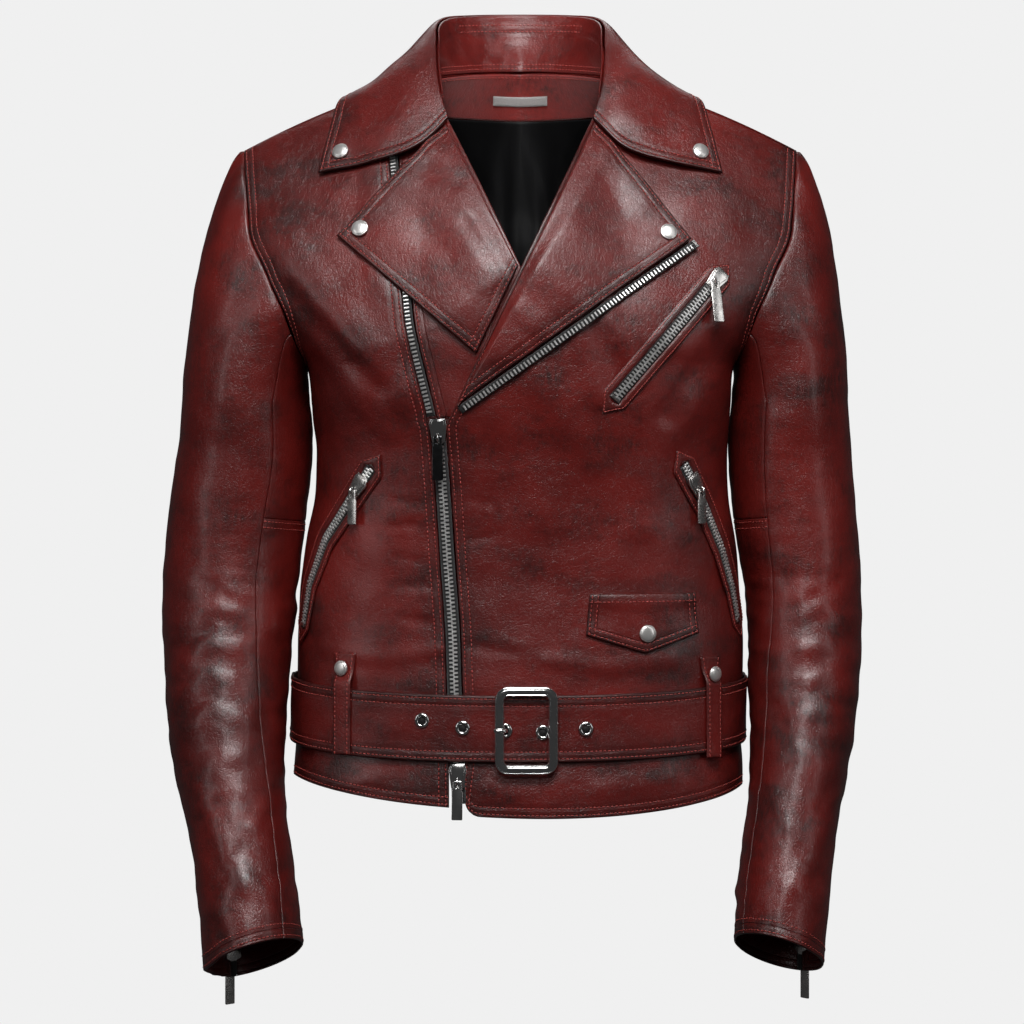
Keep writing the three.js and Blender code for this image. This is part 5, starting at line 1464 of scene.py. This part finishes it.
SNAP_PROFILE = [(6.2, -0.6), (6.9, -0.2), (7.0, 0.4), (6.9, 0.9), (6.6, 1.3), (6.25, 1.45),
                (6.0, 1.4)]
SNAP_PROFILE += [(6.0 * math.cos(a), 1.4 + 1.2 * math.sin(a)) for a in np.linspace(0.08, 1.5, 12)]
EYELET_PROFILE = [(3.2, -0.6), (3.1, 0.2), (3.3, 0.8), (3.8, 1.25), (4.5, 1.42), (5.2, 1.25),
                  (5.8, 0.75), (6.0, 0.1), (5.9, -0.4), (3.2, -0.6)]
HOLE_PROFILE = [(3.25, -0.3), (3.25, 0.1)]
UP = np.array([0, 0, 1.0])


def on_body(x, z, lift):
    """An upright place on the front."""
    X, Z = np.array([float(x)]), np.array([float(z)])
    return axes_at(surface(X, Z, "front", lift)[0], UP, outward(X, Z)[0])


SNAPS = {
    "snap_lapel_right": (-128.5, -114, 6.4), "snap_lapel_left": (118, -117, 6.4),
    "snap_flap": (101, -437.5, 3.0), "snap_loop_right": (-142, -466.5, 5.0),
    "snap_loop_left": (152.5, -471.5, 7.3),
}
for name, (x, z, lift) in SNAPS.items():
    size = 6.2 / 7 if "loop" in name else 1.0
    profile = [(r * size, h * size) for r, h in SNAP_PROFILE]
    lathe(name + "_look", profile, on_body(x, z, lift + 0.4), SNAP_METAL, [name])
for name, v in (("snap_collar_right", 0.03), ("snap_collar_left", 0.97)):
    near, down = 0.01, 0.86
    one, two = collar_points(np.array([v - near, v + near]), np.array([down, down]))
    above, below = collar_points(np.array([v, v]), np.array([down - near, down + near]))
    n = unit(np.cross(below - above, two - one))
    n = n if n[1] < 0 else -n
    centre = collar_points(np.array([v]), np.array([down]))[0] + n * 1.0
    lathe(name + "_look", SNAP_PROFILE, axes_at(centre, UP, n), SNAP_METAL, [name])

EYELETS = [(-78, -506), (-46, -511.6), (17.5, -515), (51.5, -512.4)]
for number, (x, z) in enumerate(EYELETS, 1):
    place = on_body(x, z, 5.3)
    lathe(f"eyelet_{number}_look", EYELET_PROFILE, place, CHROME, [f"eyelet_{number}"])
    # A near-black disc fills each eyelet's hole: painted shade.
    lathe(f"eyelet_painted_shade_{number}", HOLE_PROFILE, place, PAINTED_SHADE_DISC, [], "hide")
place = on_body(-12.5, -513.5, 5.3)
lathe("eyelet_prong", EYELET_PROFILE, place, CHROME, [])
# A near-black disc fills the prong's eyelet hole: painted shade.
lathe("eyelet_painted_shade_prong", HOLE_PROFILE, place, PAINTED_SHADE_DISC, [], "hide")

# ---- Plates: buckle, sliders and pull tabs --------------------------------------------------------


def rounded(width, height, radius, steps):
    """A rectangle with round corners."""
    w, h = width / 2 - radius, height / 2 - radius
    points = arc(w, -h, radius, -90, 0, steps) + arc(w, h, radius, 0, 90, steps)
    return points + arc(-w, h, radius, 90, 180, steps) + arc(-w, -h, radius, 180, 270, steps)


def plate(outline, holes, low, high, bevel):
    """An extruded outline with holes and rounded edges between two heights, as a mesh."""
    curve = bpy.data.curves.new("plate", "CURVE")
    curve.dimensions = "2D"
    curve.fill_mode = "BOTH"
    for ring in [outline, *holes]:
        spline = curve.splines.new("POLY")
        spline.points.add(len(ring) - 1)
        for point, (x, y) in zip(spline.points, ring):
            point.co = (x, y, 0, 1)
        spline.use_cyclic_u = True
    curve.extrude = (high - low) / 2 - bevel
    curve.bevel_depth = bevel
    curve.bevel_resolution = 2
    curve.offset = -bevel
    holder = bpy.data.objects.new("plate", curve)
    bpy.context.scene.collection.objects.link(holder)
    graph = bpy.context.evaluated_depsgraph_get()
    mesh = bpy.data.meshes.new_from_object(holder.evaluated_get(graph))
    points = np.empty(len(mesh.vertices) * 3)
    mesh.vertices.foreach_get("co", points)
    faces = [tuple(p.vertices) for p in mesh.polygons]
    bpy.data.objects.remove(holder)
    bpy.data.curves.remove(curve)
    bpy.data.meshes.remove(mesh)
    points = points.reshape(-1, 3)
    points[:, 2] += (low + high) / 2
    return points, faces


def join_parts(name, parts, place, material, nodes, body=BODY_NAME):
    """Joins (points, faces) parts, set at a place, into one steel piece."""
    axes, origin = place
    points, faces, base = [], [], 0
    for p, f in parts:
        points.append(np.asarray(p) @ axes + origin)
        faces += [tuple(i + base for i in face) for face in f]
        base += len(p)
    obj = mesh_object(name, np.concatenate(points), faces)
    weld(obj)
    finish_piece(obj, nodes, "steel", material, body=body)


def weld(obj):
    """Merges doubled points, turns all faces outward and keeps sharp edges sharp."""
    bm = bmesh.new()
    bm.from_mesh(obj.data)
    bmesh.ops.remove_doubles(bm, verts=bm.verts, dist=1e-6)
    bmesh.ops.recalc_face_normals(bm, faces=bm.faces)
    for edge in bm.edges:
        if len(edge.link_faces) == 2 and edge.calc_face_angle() > 0.6:
            edge.smooth = False
    bm.to_mesh(obj.data)
    bm.free()


def tube(path, radius, count, closed=False, flat=1.0):
    """A bar along a path of points, round or flattened by `flat`."""
    P = np.array(path, float)
    T = unit(np.roll(P, -1, 0) - np.roll(P, 1, 0) if closed else np.gradient(P, axis=0))
    N = unit(UP - T * (T @ UP)[:, None])
    B = np.cross(T, N)
    a = np.linspace(0, 2 * np.pi, count + 1)[:-1, None]
    rings = P[:, None] + radius * (B[:, None] * np.cos(a) + flat * N[:, None] * np.sin(a))
    faces = []
    m = len(P)
    for i in range(m if closed else m - 1):
        k = (i + 1) % m
        for j in range(count):
            q = (j + 1) % count
            faces.append((i * count + j, k * count + j, k * count + q, i * count + q))
    if not closed:
        last = (m - 1) * count
        faces += [tuple(range(count)), tuple(last + j for j in range(count))[::-1]]
    return rings.reshape(-1, 3), faces


BUCKLE_WIDTH, BUCKLE_HEIGHT, BUCKLE_BAR = 51, 70, 8
buckle_place = on_body(4.5, -513.5, 6.6)
frame_ring = rounded(BUCKLE_WIDTH - BUCKLE_BAR, BUCKLE_HEIGHT - BUCKLE_BAR, 7.5, 12)
buckle_bar = tube([(x, y, 2.3) for x, y in frame_ring], BUCKLE_BAR / 2, 20, closed=True, flat=0.58)
posts = [tube([(x, y, 2.2), (x + 7, y, 2.2)], 1.3, 10) for x in (-15, 8) for y in (-28.6, 28.6)]
rims = [tube([(x, y, 3.9) for x, y in rounded(w, h, r, 12)], 0.75, 8, closed=True)
        for w, h, r in ((48.6, 67.6, 9.4), (37.6, 56.6, 4.6))]
join_parts("buckle_frame_look", [buckle_bar, *rims, *posts], buckle_place, CHROME, ["buckle_frame"])
prong_path = [(-25.5, 0, 5.6), (-24, 0, 6.1), (-21, 0, 6.3), (-18.4, 0, 6.0), (-16.6, 0, 4.4),
              (-15.8, 0, 1.5), (-15.7, 0, -0.6)]
prong = tube(prong_path, 1.6, 12, flat=0.8)
join_parts("buckle_prong_look", [prong], buckle_place, CHROME, ["buckle_prong"])

# Each slider: where its pull hangs from, the direction out of the hide there, and upward.
SLIDER_AT = {
    "main": ((-66.2, -112.2, -279.9), (-0.153, -0.988, 0), (0, 0, 1)),
    "main_foot": ((-50.5, -117.3, -554.2), (-0.078, -0.989, 0.129), (0.010, 0.129, 0.992)),
    "chest": ((156.5, -88.9, -155.2), (0.332, -0.910, 0.248), (-0.085, 0.233, 0.969)),
    "hand_right": ((-136.0, -84.0, -323.4), (-0.568, -0.823, 0), (0, 0, 1)),
    "hand_left": ((146.5, -77.6, -323.0), (0.645, -0.765, 0), (0, 0, 1)),
    "cuff_right": ((-237.1, -54.8, -712.8), (-0.622, 0.783, 0), (0, 0, 1)),
    "cuff_left": ((231.7, -56.3, -707.6), (0.742, 0.671, 0), (0, 0, 1)),
}
PULL_LENGTH = {"main": 34, "main_foot": 30, "chest": 33, "hand_right": 27, "hand_left": 27,
               "cuff_right": 30, "cuff_left": 30}


def line_up(points, t):
    """Direction up a line of [x, z] points on the body."""
    p = on_line(points, np.array([min(1, t + 0.03), max(0, t - 0.03)]))
    q = surface(p[:, 0], p[:, 1])
    return unit(q[1] - q[0])


def slider_axes(name, origin, out):
    """Axes of a slider's body: up along its zip, outward from the hide."""
    x, z = np.array([origin[0]]), np.array([origin[2]])
    lines = {"main": (closed_line, 0), "main_foot": (closed_line, 1), "chest": (CHEST_POCKET, 0),
             "hand_right": (HAND_POCKETS["right"], 0.1), "hand_left": (HAND_POCKETS["left"], 0.1)}
    if name in lines:
        return axes_at(origin, line_up(*lines[name]), outward(x, z)[0])
    side = name.split("_")[1]
    up = arm_middle(side, np.array(-690.0)) - arm_middle(side, np.array(-704.0))
    return axes_at(origin, up, np.array(out))


def slider_parts():
    """A slider's wider lower plate and narrower upper plate."""
    low = [(-5.25, -4.5), (5.25, -4.5), (7.25, 9.75), (5.8, 14.5), (-5.8, 14.5), (-7.25, 9.75)]
    high = [(-3.6, -4.0), (3.6, -4.0), (4.6, 5.0), (5.9, 9.6), (4.6, 13.6), (-4.6, 13.6),
            (-5.9, 9.6), (-4.6, 5.0)]
    return [plate(low, [], -4.4, -2.3, 0.5), plate(high, [], -2.7, -1.2, 0.55)]


def bail_part():
    ring = [(0, y, z) for y, z in arc(0, 0, 2.6, 0, 180, 13)]
    path = [(0, 2.6, -1.7), (0, 2.6, -0.8), *ring, (0, -2.6, -0.8), (0, -2.6, -1.7)]
    return tube(path, 0.72, 10)


def pull_parts(length):
    """A pull tab that hangs from the origin, with a window for the bail at its top."""
    half, corner = 4.3, 0.8
    tip = arc(half - corner, -length + corner, corner, 0, -90, 4)
    tip += arc(-half + corner, -length + corner, corner, -90, -180, 4)
    outline = [(-3.0, 0.8), (3.0, 0.8), (3.5, 0.3), (3.5, -6.4), (half, -7.6), *tip, (-half, -7.6),
               (-3.5, -6.4), (-3.5, 0.3)]
    window = [(-1.5, -0.9), (-1.5, -4.9), (1.5, -4.9), (1.5, -0.9)]
    return [plate(outline, [window], -0.7, 0.7, 0.28)]


for name, (origin, out, up) in SLIDER_AT.items():
    hang = axes_at(origin, np.array(up, float), np.array(out, float))
    bright = CHROME if name.startswith("main") else CHROME_SATIN
    join_parts(f"slider_{name}_look", slider_parts(), slider_axes(name, origin, out), bright,
               [f"slider_{name}"])
    join_parts(f"bail_{name}", [bail_part()], hang, CHROME, [])
    join_parts(f"pull_{name}_look", pull_parts(PULL_LENGTH[name]), hang,
               PULL_DARK if name == "main" else bright, [f"pull_{name}"], body=f"pull_{name}")

# End stops: where the left branch ends at its lapel, and at the foot of each pocket zip.
STOPS = [
    (LEFT_ZIP, 0.0, 5.2, (3.4, 7.5, 3.0)),
    (CHEST_POCKET, 0.985, 1.9, (2.6, 9, 2.6)),
    (HAND_POCKETS["right"], 0.985, 1.9, (2.4, 8, 2.6)),
    (HAND_POCKETS["left"], 0.985, 1.9, (2.4, 8, 2.6)),
]
stops = []
for points, t, lift, size in STOPS:
    P, N, across = strip(points, np.array([t]), np.zeros((1, 1)))
    centre, n = P[0] + N[0] * lift, N[0]
    stops.append(block(centre, unit(np.cross(n, across)), across, n, size))
blocks_object("zip_stops", stops, CHROME_SATIN)

# ---- Camera, light and stage ----------------------------------------------------------------------


def make_stage():
    camera_data = bpy.data.cameras.new("camera")
    camera_data.sensor_width = 36
    camera_data.lens = 3120 / 1024 * 36
    camera_data.shift_y = -(512 - 400) / 1024
    camera = bpy.data.objects.new("camera", camera_data)
    camera.location = (-0.007, -2.6, -0.25)
    camera.rotation_euler = (math.pi / 2, 0, 0)
    camera_data.clip_end = 100
    bpy.context.scene.collection.objects.link(camera)
    bpy.context.scene.camera = camera

    def add_lamp(data, place, target):
        lamp = bpy.data.objects.new(data.name, data)
        lamp.location = place
        toward = Vector(target) - Vector(lamp.location)
        lamp.rotation_euler = toward.to_track_quat("-Z", "Y").to_euler()
        bpy.context.scene.collection.objects.link(lamp)

    def softbox(name, place, target, size, power):
        data = bpy.data.lights.new(name, "AREA")
        data.shape = "RECTANGLE"
        data.size, data.size_y = size
        data.energy = power
        add_lamp(data, place, target)

    softbox("key_above", (0.1, -1.6, 1.45), (0, 0, -0.25), (1.5, 0.8), 54)
    softbox("front", (-0.3, -2.7, 0.85), (0, 0, -0.3), (0.8, 0.5), 10)
    softbox("fill_left", (-2.1, -1.5, 0.35), (0, 0, -0.35), (0.6, 1.6), 7)
    softbox("fill_right", (2.1, -1.5, 0.35), (0, 0, -0.35), (0.6, 1.6), 6)
    softbox("rear", (0, 2.0, 2.0), (0, 0, -0.3), (2.2, 1.2), 22)
    snoot = bpy.data.lights.new("neck", "SPOT")
    snoot.energy, snoot.spot_size, snoot.spot_blend = 34, math.radians(6.6), 0.6
    snoot.shadow_soft_size = 0.05
    add_lamp(snoot, (0, -1.5, -0.3), (0, 0.07, 0.035))
    world = bpy.data.worlds.new("studio")
    world.use_nodes = True
    world.node_tree.nodes["Background"].inputs[0].default_value = (0.85, 0.85, 0.86, 1)
    world.node_tree.nodes["Background"].inputs[1].default_value = 0.045
    bpy.context.scene.world = world
    bpy.context.scene.view_settings.view_transform = "Standard"

    pale = bpy.data.materials.new("stage_pale")
    pale.use_nodes = True
    nodes = pale.node_tree.nodes
    light = nodes.new("ShaderNodeEmission")
    light.inputs[0].default_value = (0.871, 0.871, 0.871, 1)
    pale.node_tree.links.new(light.outputs[0], nodes["Material Output"].inputs[0])
    R, Z0 = 30000, -1000
    floor = mesh_object("floor", [(-R, -R, Z0), (R, -R, Z0), (R, R, Z0), (-R, R, Z0)], [(0, 1, 2, 3)])
    ring = [(R * 0.9 * math.cos(a), R * 0.9 * math.sin(a)) for a in np.linspace(0, 2 * np.pi, 33)[:-1]]
    wall_points = [(x, y, Z0 - 10) for x, y in ring] + [(x, y, 30000) for x, y in ring]
    backdrop = mesh_object("backdrop", wall_points,
                           [(i, (i + 1) % 32, (i + 1) % 32 + 32, i + 32) for i in range(32)])
    for obj in (floor, backdrop):
        obj.data.materials.append(pale)
        obj.visible_diffuse = obj.visible_glossy = obj.visible_shadow = False
        obj.visible_transmission = False


make_stage()
stitches_object()
